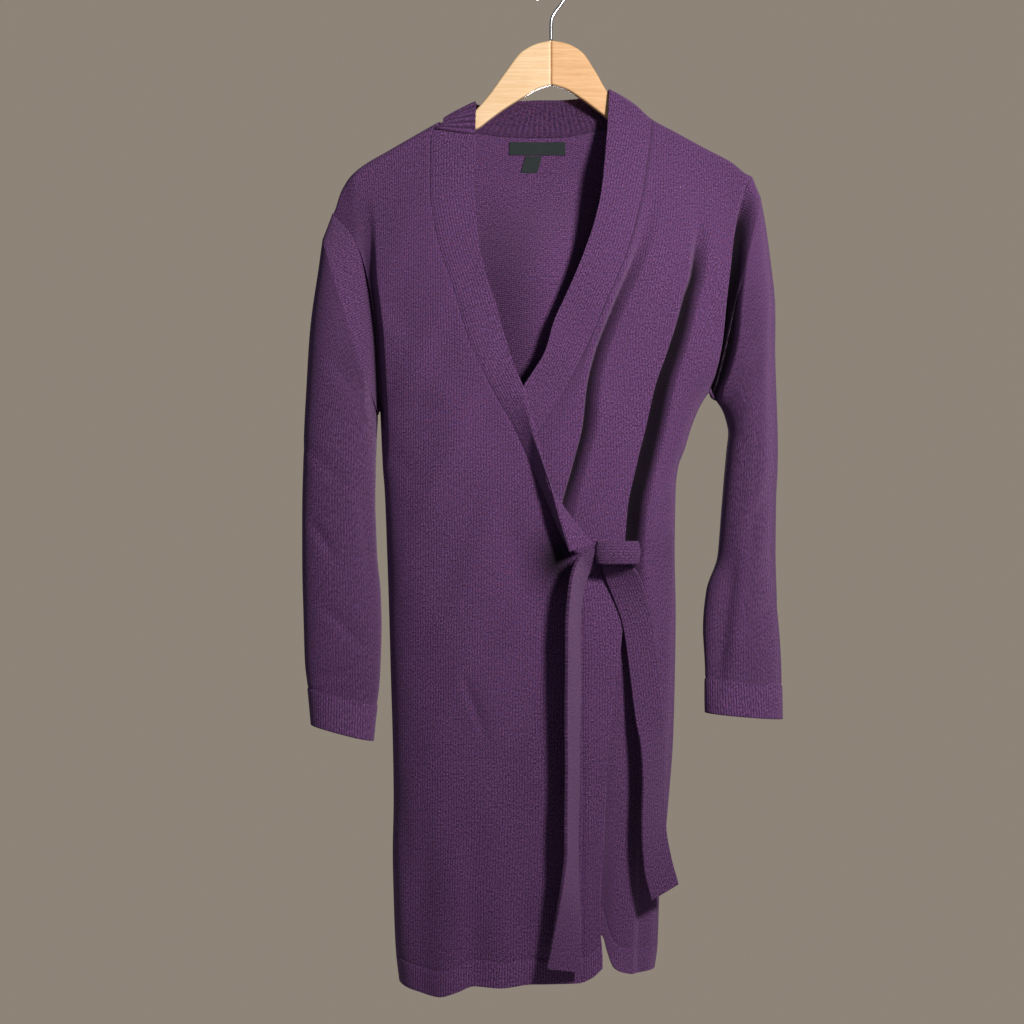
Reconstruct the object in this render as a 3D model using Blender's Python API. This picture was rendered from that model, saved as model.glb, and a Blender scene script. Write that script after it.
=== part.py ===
"""A knitted wrap dress that hangs on a two-piece wooden hanger. Metres, +Z up, the front faces -Y.

The origin is the inside of the hook's crown, where a rail holds the hanger. Tables are in millimetres: x to
the viewer's right of the hook, drop is the distance below the hook's crown, out is towards the viewer.
"""
import math

import bmesh
import bpy
import numpy as np
from mathutils import Matrix, Vector

MM = 0.001

# Walls and seams
PANEL_WALL = 2.2
BAND_WALL = 2.8
BAND_RAISE = 0.5
TIE_WALL = 3.4
LIP_WALL = 2.2
LABEL_WALL = 0.7
SEAM_GAP = 0.65
SIDE_GAP = 0.2
SLEEVE_GAP = 0.9
HEM_HEIGHT = 27.0
TURNED_RAISE = 0.7
RIB_PITCH = 5.2
RIB_RAISE = 0.75

# Hanger
ARM_THICK = 10.4
ARM_EDGE = 2.2
ARM_STEPS = 20
JOINT_GAP = 0.2
HOOK_WIRE = 3.6
HOOK_INNER = 16.0
HOOK_REST = 0.3
HANGER_TOP = 72.0

# The roundness of the body's section, 2 being an ellipse
SECTION_POWER = 2.6
# Cloth over an arm of the hanger: radius of the ridge, and how far the arm holds the cloth out
RIDGE_RADIUS = 8.0
ARM_HOLD = 11.0
ARM_HOLD_END = 213.0
ARM_HOLD_FADE = 24.0
ARM_HOLD_BELOW = (30.0, 90.0)
HOLD_BLEND = 3.0
# How far the under-front lies behind the over-front
LAYER_STEP = 9.0
LAYER_START = 300.0
LAYER_FULL = 450.0
# Where the body is deep enough for its folds to start, and to be full
FOLD_SHALLOW = 20.0
FOLD_DEEP = 45.0


def table(names, *rows):
    """A table with a named column for each number of its rows."""
    return dict(zip(names.split(), np.array(rows, float).T))


def along(rows, column, place, key="drop"):
    """The column's value at each place between the rows, on a smooth line that never overshoots them."""
    x, y, place = rows[key], rows[column], np.asarray(place, float)
    step = np.diff(x)
    slope = np.diff(y) / step
    tangent = np.zeros_like(y)
    before, after = slope[:-1], slope[1:]
    same = before * after > 0
    near, far = 2 * step[1:] + step[:-1], step[1:] + 2 * step[:-1]
    with np.errstate(divide="ignore", invalid="ignore"):
        mean = (near + far) / (near / before + far / after)
    tangent[1:-1] = np.where(same, mean, 0.0)
    tangent[0], tangent[-1] = slope[0], slope[-1]
    at = np.clip(np.searchsorted(x, place) - 1, 0, len(step) - 1)
    h, t = step[at], np.clip((place - x[at]) / step[at], 0.0, 1.0)
    return (
        y[at] * (1 + 2 * t) * (1 - t) ** 2
        + h * tangent[at] * t * (1 - t) ** 2
        + y[at + 1] * t * t * (3 - 2 * t)
        + h * tangent[at + 1] * t * t * (t - 1)
    )


def ramp(value, start, full):
    """From 0 at start to 1 at full, eased at both ends."""
    t = np.clip((np.asarray(value, float) - start) / (full - start), 0.0, 1.0)
    return t * t * (3 - 2 * t)


# The body seen from the front: its two sides, and how deep it is in front of and behind the hanger
BODY = table(
    "drop left right front back",
    (150, -215, 212, 32, 32),
    (223, -228, 221, 36, 37),
    (262, -240, 228, 39, 41),
    (300, -240, 227, 41, 44),
    (350, -234, 221, 44, 47),
    (400, -222, 212, 46, 49),
    (440, -204, 190, 49, 51),
    (458, -196, 174, 50, 52),
    (478, -188, 162, 52, 53),
    (498, -187, 154, 53, 54),
    (521, -186, 147, 55, 56),
    (540, -185, 140, 57, 57),
    (565, -183, 137, 59, 59),
    (640, -180, 136, 62, 62),
    (700, -178, 137, 64, 64),
    (773, -176, 136, 66, 66),
    (841, -174, 134, 67, 68),
    (907, -173, 129, 68, 70),
    (962, -174, 124, 69, 71),
    (1010, -173, 119, 70, 72),
    (1064, -171, 117, 70, 73),
    (1110, -166, 110, 70, 74),
)
# The line over the shoulders and over the arms of the hanger
RIDGE = table(
    "x drop",
    (-246, 264),
    (-240, 262),
    (-231, 238),
    (-222, 223),
    (-209, 211),
    (-179, 193),
    (-153, 178),
    (-123, 161),
    (-82, 139),
    (-50, 122),
    (-10, 110),
    (30, 114),
    (64, 125),
    (93, 142),
    (109, 157),
    (136, 172),
    (169, 190),
    (199, 206),
    (214, 218),
    (222, 222),
    (230, 233),
)
# How much of the body's depth is reached at each distance below the ridge
GROWTH = table(
    "below share",
    (0, 0.30),
    (30, 0.44),
    (60, 0.60),
    (100, 0.79),
    (150, 0.92),
    (230, 1.0),
)
# The long soft folds, down the cloth: x at two drops, the width either side, the depth and where each fades.
# The last row of the back is wide: there it sinks between the shoulders, as it hangs straight from its neck.
BACK_FOLDS = table(
    "x_top x_bottom left right deep start end",
    (-128, -118, 26, 20, 9, 330, 860),
    (-58, -72, 22, 28, 7, 520, 1180),
    (22, 6, 24, 20, 10, 420, 1180),
    (88, 66, 18, 26, 12, 300, 1180),
    (-12, -14, 78, 78, 42, 200, 580),
)
OVER_FOLDS = table(
    "x_top x_bottom left right deep start end",
    (-144, -138, 13, 15, 4, 830, 1250),
    (-88, -84, 15, 18, 3.5, 860, 1250),
    (-34, -30, 16, 16, 2.5, 900, 1250),
)
FOLD_FADE = 150.0
HEM_DROP = 1100.0
FOLD_TOP = 200.0


def body_depth(x, drop, front, under=False):
    """How far the outside of the cloth lies from the plane of the hanger, at a place seen from the front."""
    x, drop = np.asarray(x, float), np.asarray(drop, float)
    left, right = along(BODY, "left", drop), along(BODY, "right", drop)
    across = np.clip((2 * x - left - right) / (right - left), -1.0, 1.0)
    section = (1 - np.abs(across) ** SECTION_POWER) ** (1 / SECTION_POWER)
    below = np.maximum(drop - along(RIDGE, "drop", x, key="x"), 0.0)
    full = along(BODY, "front" if front else "back", drop)
    over_ridge = np.sqrt(1 - (1 - np.minimum(below / RIDGE_RADIUS, 1.0)) ** 2)
    depth = full * along(GROWTH, "share", below, key="below") * section * over_ridge
    if under:
        depth = depth - LAYER_STEP * ramp(drop, LAYER_START, LAYER_FULL) * section
    held = ARM_HOLD * over_ridge * (1 - ramp(np.abs(x), ARM_HOLD_END, ARM_HOLD_END + ARM_HOLD_FADE))
    held = held * (1 - ramp(below, *ARM_HOLD_BELOW))
    return (depth + held + np.sqrt((depth - held) ** 2 + HOLD_BLEND ** 2) - HOLD_BLEND) / 2


def folded(depth, x, drop, folds):
    """The body's depth less its soft folds, where it is deep enough to have them."""
    sunk = np.zeros_like(x)
    for i in range(len(folds["deep"])):
        fold = {name: column[i] for name, column in folds.items()}
        share = (drop - FOLD_TOP) / (HEM_DROP - FOLD_TOP)
        away = x - (fold["x_top"] + (fold["x_bottom"] - fold["x_top"]) * share)
        width = np.where(away < 0, fold["left"], fold["right"])
        level = ramp(drop, fold["start"], fold["start"] + FOLD_FADE)
        level = level * (1 - ramp(drop, fold["end"] - FOLD_FADE, fold["end"]))
        sunk = sunk + fold["deep"] * level * np.exp(-((away / width) ** 2))
    return depth - sunk * ramp(depth, FOLD_SHALLOW, FOLD_DEEP)


# Levels of a panel's rows, from 0 at its top edge through UNDERARM to 1 at the hem
UNDERARM = 0.26
ROWS = np.array(
    [0, 0.0022, 0.007, 0.016, 0.034, 0.060, 0.096, 0.135, 0.175, 0.215, 0.245, UNDERARM, 0.300, 0.345, 0.390]
    + [0.435, 0.480, 0.530, 0.590, 0.660, 0.740, 0.820, 0.900, 0.966, 0.970, 1.0]
)
ARMHOLE_ROWS = int(np.argmax(ROWS >= UNDERARM)) + 1

# The armholes, seen from the front, from the shoulder's end to the underarm
ARMHOLE_RIGHT = table(
    "drop x",
    (262, -240.5),
    (270, -233),
    (283, -222),
    (303, -210),
    (329, -202),
    (362, -196),
    (406, -191),
    (450, -189),
    (478, -188.3),
)
ARMHOLE_LEFT = table(
    "drop x",
    (222, 221.3),
    (236, 213),
    (263, 206),
    (294, 200.5),
    (324, 197),
    (357, 193),
    (406, 188),
    (439, 181),
    (458, 174.3),
)
# The seam between the over-front and its band, and the band's free edge with the crest it stands up in
OVER_SEAM = table(
    "drop x",
    (161, -123),
    (171, -129),
    (186, -132),
    (236, -132),
    (276, -127),
    (306, -120),
    (344, -107),
    (383, -96),
    (417, -84),
    (443, -71),
    (472, -56),
    (489, -46),
    (518, -32),
    (550, -18),
    (580, -5),
    (609, 7),
    (633, 19),
    (658, 27),
    (684, 31),
    (737, 33),
    (900, 33),
    (1096, 31),
)
OVER_BAND = table(
    "drop crest edge crest_out edge_out",
    (171, -86, -83, 0, 0),
    (186, -90, -83, 0, 0),
    (232, -91, -84, 0, 0),
    (288, -86, -80, 0, 0),
    (333, -76, -71, 0, 0),
    (359, -67, -62, 0, 0),
    (395, -57, -52, 0, 0),
    (430, -46, -41, 0.5, 0.5),
    (452, -37, -32, 3, 3),
    (475, -29, -24, 8, 8),
    (513, -19, -16, 16, 16),
    (545, -8, -6, 22, 21),
    (567, -1, 1, 25, 23),
    (588, 5, 15, 27, 22),
    (609, 13, 31, 28, 20),
    (625, 19, 44, 28, 20),
)
OVER_LOWER_EDGE = table(
    "drop x",
    (634, 70),
    (652, 72),
    (684, 75),
    (709, 76),
    (737, 74),
    (769, 69),
    (813, 64),
    (846, 61),
    (873, 59),
    (918, 57),
    (970, 55),
    (1009, 52),
    (1047, 52),
    (1078, 54),
)
# The under-front: its band's free edge, the band's seam, two folds drawn towards the tie, and where they go
UNDER_LINES = table(
    "drop edge seam fold_a fold_b",
    (125, 64, 109, 124, 166),
    (161, 62, 109, 124, 166),
    (197, 59, 105.5, 120, 166),
    (243, 54, 98, 112, 165),
    (280, 45, 89.5, 102, 161),
    (309, 35, 81, 92, 157),
    (336, 24, 70, 81, 152),
    (356, 15, 61, 72, 145),
    (385, 2, 49, 60, 137),
    (413, -6, 36, 49, 128),
    (453, -30, 16, 39, 114),
    (496, -56, -11, 34, 104),
    (540, -79, -37, 23, 93),
    (588, -98, -54, 10, 83),
    (642, -110, -66, 2, 80),
    (706, -116, -72, -4, 88),
    (792, -118, -74, -6, 98),
    (899, -118, -74, -6, 97),
    (1085, -117, -73, -5, 93),
)
# How deep the two folds are, and how wide on the side away from their steep side
UNDER_FOLD_DEPTH = table(
    "drop fold_a fold_b wide_a wide_b",
    (200, 0, 0, 10, 12),
    (300, 1, 2, 10, 12),
    (340, 4, 8, 12, 15),
    (400, 8, 15, 14, 19),
    (460, 9, 19, 16, 22),
    (540, 11, 21, 18, 24),
    (600, 8, 22, 18, 24),
    (650, 3, 14, 18, 24),
    (720, 0, 6, 18, 24),
    (1100, 0, 4, 18, 24),
)
# The hem of each panel, seen from the front
OVER_HEM = table(
    "x drop",
    (-171, 1101),
    (-150, 1106),
    (-122, 1110),
    (-102, 1104),
    (-83, 1097),
    (-56, 1098),
    (-18, 1094),
    (28, 1093),
    (42, 1088),
    (54, 1078),
)
UNDER_HEM = table(
    "x drop",
    (-160, 1040),
    (40, 1040),
    (54, 1044),
    (60, 1064),
    (67, 1080),
    (77, 1086),
    (90, 1089),
    (110, 1088),
)
BACK_HEM = table(
    "x drop",
    (-171, 1096),
    (-150, 1086),
    (-100, 1072),
    (-40, 1064),
    (40, 1062),
    (70, 1072),
    (95, 1086),
    (110, 1088),
)
# The back neck seam, from one shoulder to the other
BACK_NECK = table(
    "x drop",
    (-123, 161),
    (-80, 168),
    (-44, 171.5),
    (-15, 172),
    (13, 171.5),
    (54, 164.5),
    (109, 157),
)
LEFT_NECK = -123.0
RIGHT_NECK = 109.0
# The ends of the shoulders
SHOULDER_RIGHT = -240.5
SHOULDER_LEFT = 221.3
# The drop that the rows of a panel have at the middle of the front, level with the underarms
OVER_LEVEL = 420.0
BAND_LEVEL = 440.0
FOLD_LEVEL = 450.0


def rail_drops(top, underarm, bottom):
    """The drop of each row along a side edge."""
    return np.interp(ROWS, (0, UNDERARM, 1), (top, underarm, bottom))


def side_rail(armhole, side, bottom):
    """The armhole and the side seam below it: x and drop for each row."""
    drop = rail_drops(armhole["drop"][0], armhole["drop"][-1], bottom)
    x = np.where(drop <= armhole["drop"][-1], along(armhole, "x", drop), along(BODY, side, drop))
    return np.stack([x, drop], axis=-1)


def patch(top, bottom, left, right):
    """A net of places between four edges that share their corners."""
    v = ROWS[:, None, None]
    share = np.cumsum(np.r_[0, np.linalg.norm(np.diff(top, axis=0), axis=1)])
    low = np.cumsum(np.r_[0, np.linalg.norm(np.diff(bottom, axis=0), axis=1)])
    u = ((1 - v[:, :, 0]) * (share / share[-1])[None] + v[:, :, 0] * (low / low[-1])[None])[:, :, None]
    return (
        (1 - u) * left[:, None] + u * right[:, None]
        + (1 - v) * top[None] + v * bottom[None]
        - (1 - u) * (1 - v) * top[0] - u * (1 - v) * top[-1]
        - (1 - u) * v * bottom[0] - u * v * bottom[-1]
    )


def spread(start, end, shares):
    return start + (end - start) * np.asarray(shares, float)


def in_space(places, depth):
    """Places seen from the front, with their distance towards the viewer, as points."""
    return np.stack([places[..., 0], -depth, -places[..., 1]], axis=-1)


def shell(name, points, wall, material, raised=None, closed=False, flip=False, side=0):
    """A wall of cloth whose outside passes through a net of points, or lies above them by what is raised.

    closed joins its first and last columns. side is -1 for a front and 1 for the back, which both keep to
    their side of the seams between them.
    """
    rows, columns = points.shape[:2]
    mesh = bmesh.new()
    bmesh.ops.create_grid(mesh, x_segments=columns - 1, y_segments=rows - 1, size=1.0)
    mesh.verts.ensure_lookup_table()
    order = sorted(mesh.verts, key=lambda v: (round(v.co.y, 6), round(v.co.x, 6)))
    for vertex, place in zip(order, points.reshape(-1, 3)):
        vertex.co = Vector(place) * MM
    if closed:
        bmesh.ops.remove_doubles(mesh, verts=mesh.verts, dist=1e-6)
    if flip:
        bmesh.ops.reverse_faces(mesh, faces=mesh.faces)
    mesh.normal_update()
    outside = [(vertex, vertex.normal.copy()) for vertex in mesh.verts]
    heights = {}
    if raised is not None:
        flat = zip(points.reshape(-1, 3), raised.reshape(-1))
        heights = {stored_place(place): height for place, height in flat}
    bmesh.ops.solidify(mesh, geom=mesh.faces[:], thickness=wall * MM)
    for vertex, normal in outside:
        vertex.co += normal * heights.get(tuple(np.round(vertex.co, 9)), 0.0) * MM
    if side:
        for vertex in mesh.verts:
            vertex.co.y = side * max(side * vertex.co.y, SIDE_GAP * MM)
    bmesh.ops.recalc_face_normals(mesh, faces=mesh.faces[:])
    return stored(name, mesh, material)


def stored_place(place):
    """A point in metres, rounded, to find the vertex that was put there."""
    return tuple(np.round(Vector(place) * MM, 9))


def stored(name, mesh, material):
    data = bpy.data.meshes.new(name)
    mesh.to_mesh(data)
    mesh.free()
    data.materials.append(material)
    piece = bpy.data.objects.new(name, data)
    DRESS.objects.link(piece)
    return piece


def paint(name, colour, roughness, metallic=0.0):
    material = bpy.data.materials.new(name)
    material.use_nodes = True
    shader = material.node_tree.nodes["Principled BSDF"]
    shader.inputs["Base Color"].default_value = (*colour, 1.0)
    shader.inputs["Roughness"].default_value = roughness
    shader.inputs["Metallic"].default_value = metallic
    return material


for old in list(bpy.data.objects):
    bpy.data.objects.remove(old)
DRESS = bpy.data.collections.new("wrap_sweater_dress")
bpy.context.scene.collection.children.link(DRESS)

PLUM_KNIT = (0.118, 0.045, 0.128)
knit = {
    name: paint(name, PLUM_KNIT, 0.95)
    for name in ("knit_back", "knit_over_front", "knit_under_front", "knit_sleeve_right", "knit_sleeve_left")
}
band_knit = paint("knit_band", (0.112, 0.043, 0.122), 0.94)
rib_knit = paint("knit_rib_collar", (0.108, 0.042, 0.116), 0.95)
tie_knit = paint("knit_tie", (0.120, 0.046, 0.130), 0.94)
label_cloth = paint("label_satin", (0.030, 0.036, 0.038), 0.55)
wood = paint("maple_wood", (0.76, 0.50, 0.26), 0.42)
steel = paint("hook_steel", (0.62, 0.62, 0.63), 0.25, 1.0)

# The back, from one armhole over the shoulders and under the neck to the other
BACK_TOP_LEFT = spread(SHOULDER_RIGHT, LEFT_NECK, (0, 0.02, 0.07, 0.16, 0.30, 0.52, 0.76))
BACK_TOP_NECK = spread(LEFT_NECK, RIGHT_NECK, (0, 0.1, 0.22, 0.35, 0.48, 0.61, 0.74, 0.88))
BACK_TOP_RIGHT = spread(RIGHT_NECK, SHOULDER_LEFT, (0, 0.24, 0.48, 0.70, 0.84, 0.93, 0.98, 1))
left_side = side_rail(ARMHOLE_RIGHT, "left", 1101.0)
right_side = side_rail(ARMHOLE_LEFT, "right", 1088.0)


def on_ridge(x):
    return np.stack([x, along(RIDGE, "drop", x, key="x")], axis=-1)


def on_line(rows, x):
    return np.stack([x, along(rows, "drop", x, key="x")], axis=-1)


def corner(edge, first, last):
    """An edge whose ends are moved onto the corners that it shares with its neighbours."""
    edge = edge.copy()
    edge[0], edge[-1] = first, last
    return edge


back_top = np.concatenate([
    on_ridge(BACK_TOP_LEFT),
    on_line(BACK_NECK, BACK_TOP_NECK),
    on_ridge(BACK_TOP_RIGHT),
])
back_left = side_rail(ARMHOLE_RIGHT, "left", 1096.0)
edge_spread = (0, 0.006, 0.020, 0.045, 0.085, 0.14, 0.20)
back_shares = np.r_[edge_spread, np.linspace(0.27, 0.73, 9), 1 - np.array(edge_spread[::-1])]
back_bottom = on_line(BACK_HEM, spread(back_left[-1, 0], right_side[-1, 0], back_shares))
back_places = patch(
    corner(back_top, back_left[0], right_side[0]),
    corner(back_bottom, back_left[-1], right_side[-1]),
    back_left,
    right_side,
)


def back_depth(places):
    """How far behind the hanger the outside of the back lies."""
    x, drop = places[..., 0], places[..., 1]
    return np.maximum(folded(body_depth(x, drop, front=False), x, drop, BACK_FOLDS), SIDE_GAP)


def hem_raise(places, hem):
    """The hem is turned up, so the cloth is thicker there."""
    above = along(hem, "drop", places[..., 0], key="x") - places[..., 1]
    return TURNED_RAISE * (above < HEM_HEIGHT + 1.0)


shell(
    "back_panel", in_space(back_places, -back_depth(back_places)), PANEL_WALL, knit["knit_back"],
    raised=hem_raise(back_places, BACK_HEM), side=1,
)

# The over-front, from its armhole and side seam to the seam of its band
over_drop = rail_drops(161.0, OVER_LEVEL, 1093.0)
over_right = np.stack([along(OVER_SEAM, "x", over_drop), over_drop], axis=-1)
top_shares = (0, 0.02, 0.06, 0.12, 0.20, 0.30, 0.40, 0.50, 0.60, 0.70, 0.80, 0.88, 0.95, 1)
low_shares = (0, 0.008, 0.027, 0.06, 0.11, 0.17, 0.25, 0.34, 0.44, 0.55, 0.66, 0.78, 0.89, 1)
over_top = on_ridge(spread(SHOULDER_RIGHT, LEFT_NECK, top_shares))
over_low = on_line(OVER_HEM, spread(left_side[-1, 0], over_right[-1, 0], low_shares))
over_places = patch(
    corner(over_top, left_side[0], over_right[0]),
    corner(over_low, left_side[-1], over_right[-1]),
    left_side,
    over_right,
)


def over_depth(places):
    """How far in front of the hanger the outside of the over-front lies."""
    x, drop = places[..., 0], places[..., 1]
    return np.maximum(folded(body_depth(x, drop, front=True), x, drop, OVER_FOLDS), SIDE_GAP)


shell(
    "over_front_panel", in_space(over_places, over_depth(over_places)), PANEL_WALL, knit["knit_over_front"],
    raised=hem_raise(over_places, OVER_HEM), flip=True, side=-1,
)

# The over-front's band above the tie: flat on the chest, then standing up in a crest where the tie draws it
BAND_START = 171.0
STAND_START = 400.0
SEAM_END = 634.0
CREST_END = 640.0
EDGE_END = 624.0
EDGE_START = 8.0
CREST_SHARE = 0.85
seam_drop = over_right[:, 1]
band_rows = seam_drop[(seam_drop > BAND_START + 2) & (seam_drop < SEAM_END - 6)]
band_rows = np.r_[BAND_START, band_rows, SEAM_END]
band_rows = np.sort(np.r_[band_rows, (band_rows[1:] + band_rows[:-1])[band_rows[1:] > STAND_START] / 2])
share = (band_rows - BAND_START) / (SEAM_END - BAND_START)
edge_rows = BAND_START + EDGE_START * (1 - ramp(share, 0, 0.08)) + (EDGE_END - BAND_START) * share
edge_rows = np.minimum(edge_rows, EDGE_END)
seam_x = np.interp(band_rows, over_right[:, 1], over_right[:, 0]) + SEAM_GAP
columns = []
for place in (0.0, 0.3, 0.62, CREST_SHARE, 1.0):
    drop = band_rows + (edge_rows - band_rows) * place
    crest_x, edge_x = along(OVER_BAND, "crest", drop), along(OVER_BAND, "edge", drop)
    crest_out, edge_out = along(OVER_BAND, "crest_out", drop), along(OVER_BAND, "edge_out", drop)
    if place <= CREST_SHARE:
        part = place / CREST_SHARE
        x = seam_x + (crest_x - seam_x) * part
        out = crest_out * part ** 1.3
        drop = drop + (CREST_END - SEAM_END) * part * ramp(share, 0.9, 1.0)
    else:
        x, out = edge_x, edge_out
    places = np.stack([x, drop], axis=-1)
    depth = over_depth(places) + BAND_RAISE * ramp(place, 0.0, 0.3) + out
    columns.append(in_space(places, depth))
shell("over_front_band", np.stack(columns, axis=1), BAND_WALL, band_knit, flip=True)

# The same band below the tie, on the front edge down to the hem
LOWER_START = 634.0
lower_rows = np.r_[LOWER_START, seam_drop[seam_drop > LOWER_START + 6]]
level = (lower_rows - LOWER_START) / (lower_rows[-1] - LOWER_START)
seam_at = np.interp(lower_rows, over_right[:, 1], over_right[:, 0]) + SEAM_GAP
edge_at = along(OVER_LOWER_EDGE, "x", lower_rows)
columns = []
hem_rows = []
for place in (0.0, 0.25, 0.5, 0.75, 1.0):
    x = seam_at + (edge_at - seam_at) * place
    foot = along(OVER_HEM, "drop", x[-1], key="x")
    drop = LOWER_START + (foot - LOWER_START) * level
    places = np.stack([x, drop], axis=-1)
    hem_rows.append(TURNED_RAISE * (foot - drop < HEM_HEIGHT + 1.0))
    columns.append(in_space(places, over_depth(places) + BAND_RAISE * ramp(place, 0.0, 0.25)))
shell(
    "over_front_lower_band", np.stack(columns, axis=1), BAND_WALL, band_knit,
    raised=np.stack(hem_rows, axis=1), flip=True,
)

# The under-front, from the seam of its band past its two folds to its armhole and side seam
FOLD_STEEP = 5.0
FOLD_CREST = 6.0
UNDER_SHALLOW = 14.0
UNDER_DEEP = 34.0


def under_depth(places):
    """The under-front's depth, with two folds that drop steeply on the left and rise slowly to the right."""
    x, drop = places[..., 0], places[..., 1]
    depth = body_depth(x, drop, front=True, under=True)
    for fold in ("a", "b"):
        away = x - along(UNDER_LINES, "fold_" + fold, drop)
        deep = along(UNDER_FOLD_DEPTH, "fold_" + fold, drop)
        wide = along(UNDER_FOLD_DEPTH, "wide_" + fold, drop)
        steep = np.clip(1 + away / FOLD_STEEP, 0, 1)
        rise = np.clip(1 - away / wide, 0, 1)
        shape = np.where(away < 0, steep, rise * rise * (3 - 2 * rise))
        depth = depth - deep * shape * ramp(depth, UNDER_SHALLOW, UNDER_DEEP)
    return np.maximum(depth, SIDE_GAP)


under_left_drop = rail_drops(157.0, BAND_LEVEL, 1040.0)
under_left = np.stack([along(UNDER_LINES, "seam", under_left_drop), under_left_drop], axis=-1)
fold_lines = []
for name, top, bottom in (("fold_a", 164.0, 1040.0), ("fold_b", 188.0, 1088.0)):
    drop = rail_drops(top, FOLD_LEVEL, bottom)
    fold_lines.append(np.stack([along(UNDER_LINES, name, drop), drop], axis=-1))
fold_a, fold_b = fold_lines


def between(first, second, shares):
    """Columns part of the way from one line to the next."""
    return [first + (second - first) * s for s in shares]


def beside(line, shift):
    """The line moved sideways."""
    return line + np.array([shift, 0.0])


spaced = between(under_left, beside(fold_a, -FOLD_STEEP), (0, 0.35, 0.68, 1))
spaced += [fold_a]
spaced += between(beside(fold_a, FOLD_CREST), beside(fold_b, -FOLD_STEEP), (0, 0.13, 0.36, 0.62, 0.84, 1))
spaced += [fold_b]
spaced += between(beside(fold_b, FOLD_CREST), right_side, (0, 0.18, 0.38, 0.58, 0.75, 0.88, 0.96, 1))
under_places = np.stack(spaced, axis=1)
# Its top row lies on the ridge of the shoulder, its last row on the hem
level = ROWS[:, None]
top_shift = on_ridge(under_places[0, :, 0])[:, 1] - under_places[0, :, 1]
low_shift = along(UNDER_HEM, "drop", under_places[-1, :, 0], key="x") - under_places[-1, :, 1]
under_places[..., 1] += top_shift[None] * (1 - ramp(level, 0, 0.25)) + low_shift[None] * ramp(level, 0.6, 1.0)
shell(
    "under_front_panel", in_space(under_places, under_depth(under_places)), PANEL_WALL,
    knit["knit_under_front"], raised=hem_raise(under_places, UNDER_HEM), flip=True, side=-1,
)

# The under-front's band, from the ridge of the shoulder down the neck edge and on under the over-front
BELOW_RIDGE = 0.6
seam_line = under_places[:, 0]
ridge_drop = along(RIDGE, "drop", UNDER_LINES["edge"][0], key="x")
edge_drop = seam_line[:, 1] - (seam_line[0, 1] - ridge_drop) * (1 - ramp(ROWS, 0, 0.12))
edge_x = along(UNDER_LINES, "edge", edge_drop)
columns = []
hem_rows = []
for place in (0.0, 0.33, 0.67, 1.0):
    x = seam_line[:, 0] - SEAM_GAP + (edge_x - seam_line[:, 0] + SEAM_GAP) * place
    drop = seam_line[:, 1] + (edge_drop - seam_line[:, 1]) * place
    on_top = along(RIDGE, "drop", x, key="x")
    drop = np.where(ROWS == 0, on_top[0], np.maximum(drop, on_top + BELOW_RIDGE * (ROWS > 0)))
    places = np.stack([x, drop], axis=-1)
    hem_rows.append(TURNED_RAISE * (drop[-1] - drop < HEM_HEIGHT + 1.0))
    lifted = BAND_RAISE * ramp(place, 0.0, 0.33) * ramp(ROWS, 0, 0.02)
    columns.append(in_space(places, under_depth(places) + lifted))
shell(
    "under_front_band", np.stack(columns, axis=1), BAND_WALL, band_knit,
    raised=np.stack(hem_rows, axis=1), side=-1,
)

# The rib-knit collar: from the left shoulder seam over the ridge, round the back neck, to the right shoulder
COLLAR = table(
    "place seam_x seam_drop edge_x edge_drop edge_back",
    (0.00, -127.3, 170.2, -83.0, 178.2, -16.0),
    (0.04, -123.8, 163.9, -83.0, 160.0, -15.0),
    (0.10, -115.6, 154.6, -83.0, 138.5, 0.0),
    (0.16, -110.5, 156.0, -80.0, 140.0, 13.0),
    (0.23, -100.0, 163.9, -68.0, 138.5, 17.0),
    (0.32, -80.0, 167.4, -50.0, 136.0, 20.0),
    (0.45, -44.0, 170.9, -28.0, 134.0, 23.0),
    (0.55, -15.0, 171.4, -12.0, 133.0, 24.0),
    (0.66, 13.0, 170.9, 8.0, 133.0, 24.0),
    (0.80, 54.0, 163.9, 38.0, 131.0, 21.0),
    (0.89, 82.0, 159.5, 54.0, 129.0, 18.0),
    (0.95, 98.0, 156.4, 61.0, 127.0, 12.0),
    (1.00, 106.0, 155.0, 63.5, 125.3, 1.5),
)
RIDGE_PLACE = 0.10
RIB_SAMPLES = 4


def collar_edge(edge, place):
    """The x and drop of one edge of the collar."""
    return np.stack([along(COLLAR, f"{edge}_{axis}", place, key="place") for axis in ("x", "drop")], axis=-1)


def collar_lines(place):
    """The collar's seam and its free edge, as points."""
    seam = collar_edge("seam", place)
    seam_back = np.where(
        place < RIDGE_PLACE,
        -body_depth(seam[..., 0], seam[..., 1], front=True),
        body_depth(seam[..., 0], seam[..., 1], front=False),
    )
    seam_back = seam_back * ramp(np.abs(place - RIDGE_PLACE), 0.0, 0.03)
    seam_back = np.where(place > 0.999, COLLAR["edge_back"][-1], seam_back)
    edge_back = along(COLLAR, "edge_back", place, key="place")
    return in_space(seam, -seam_back), in_space(collar_edge("edge", place), -edge_back)


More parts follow.
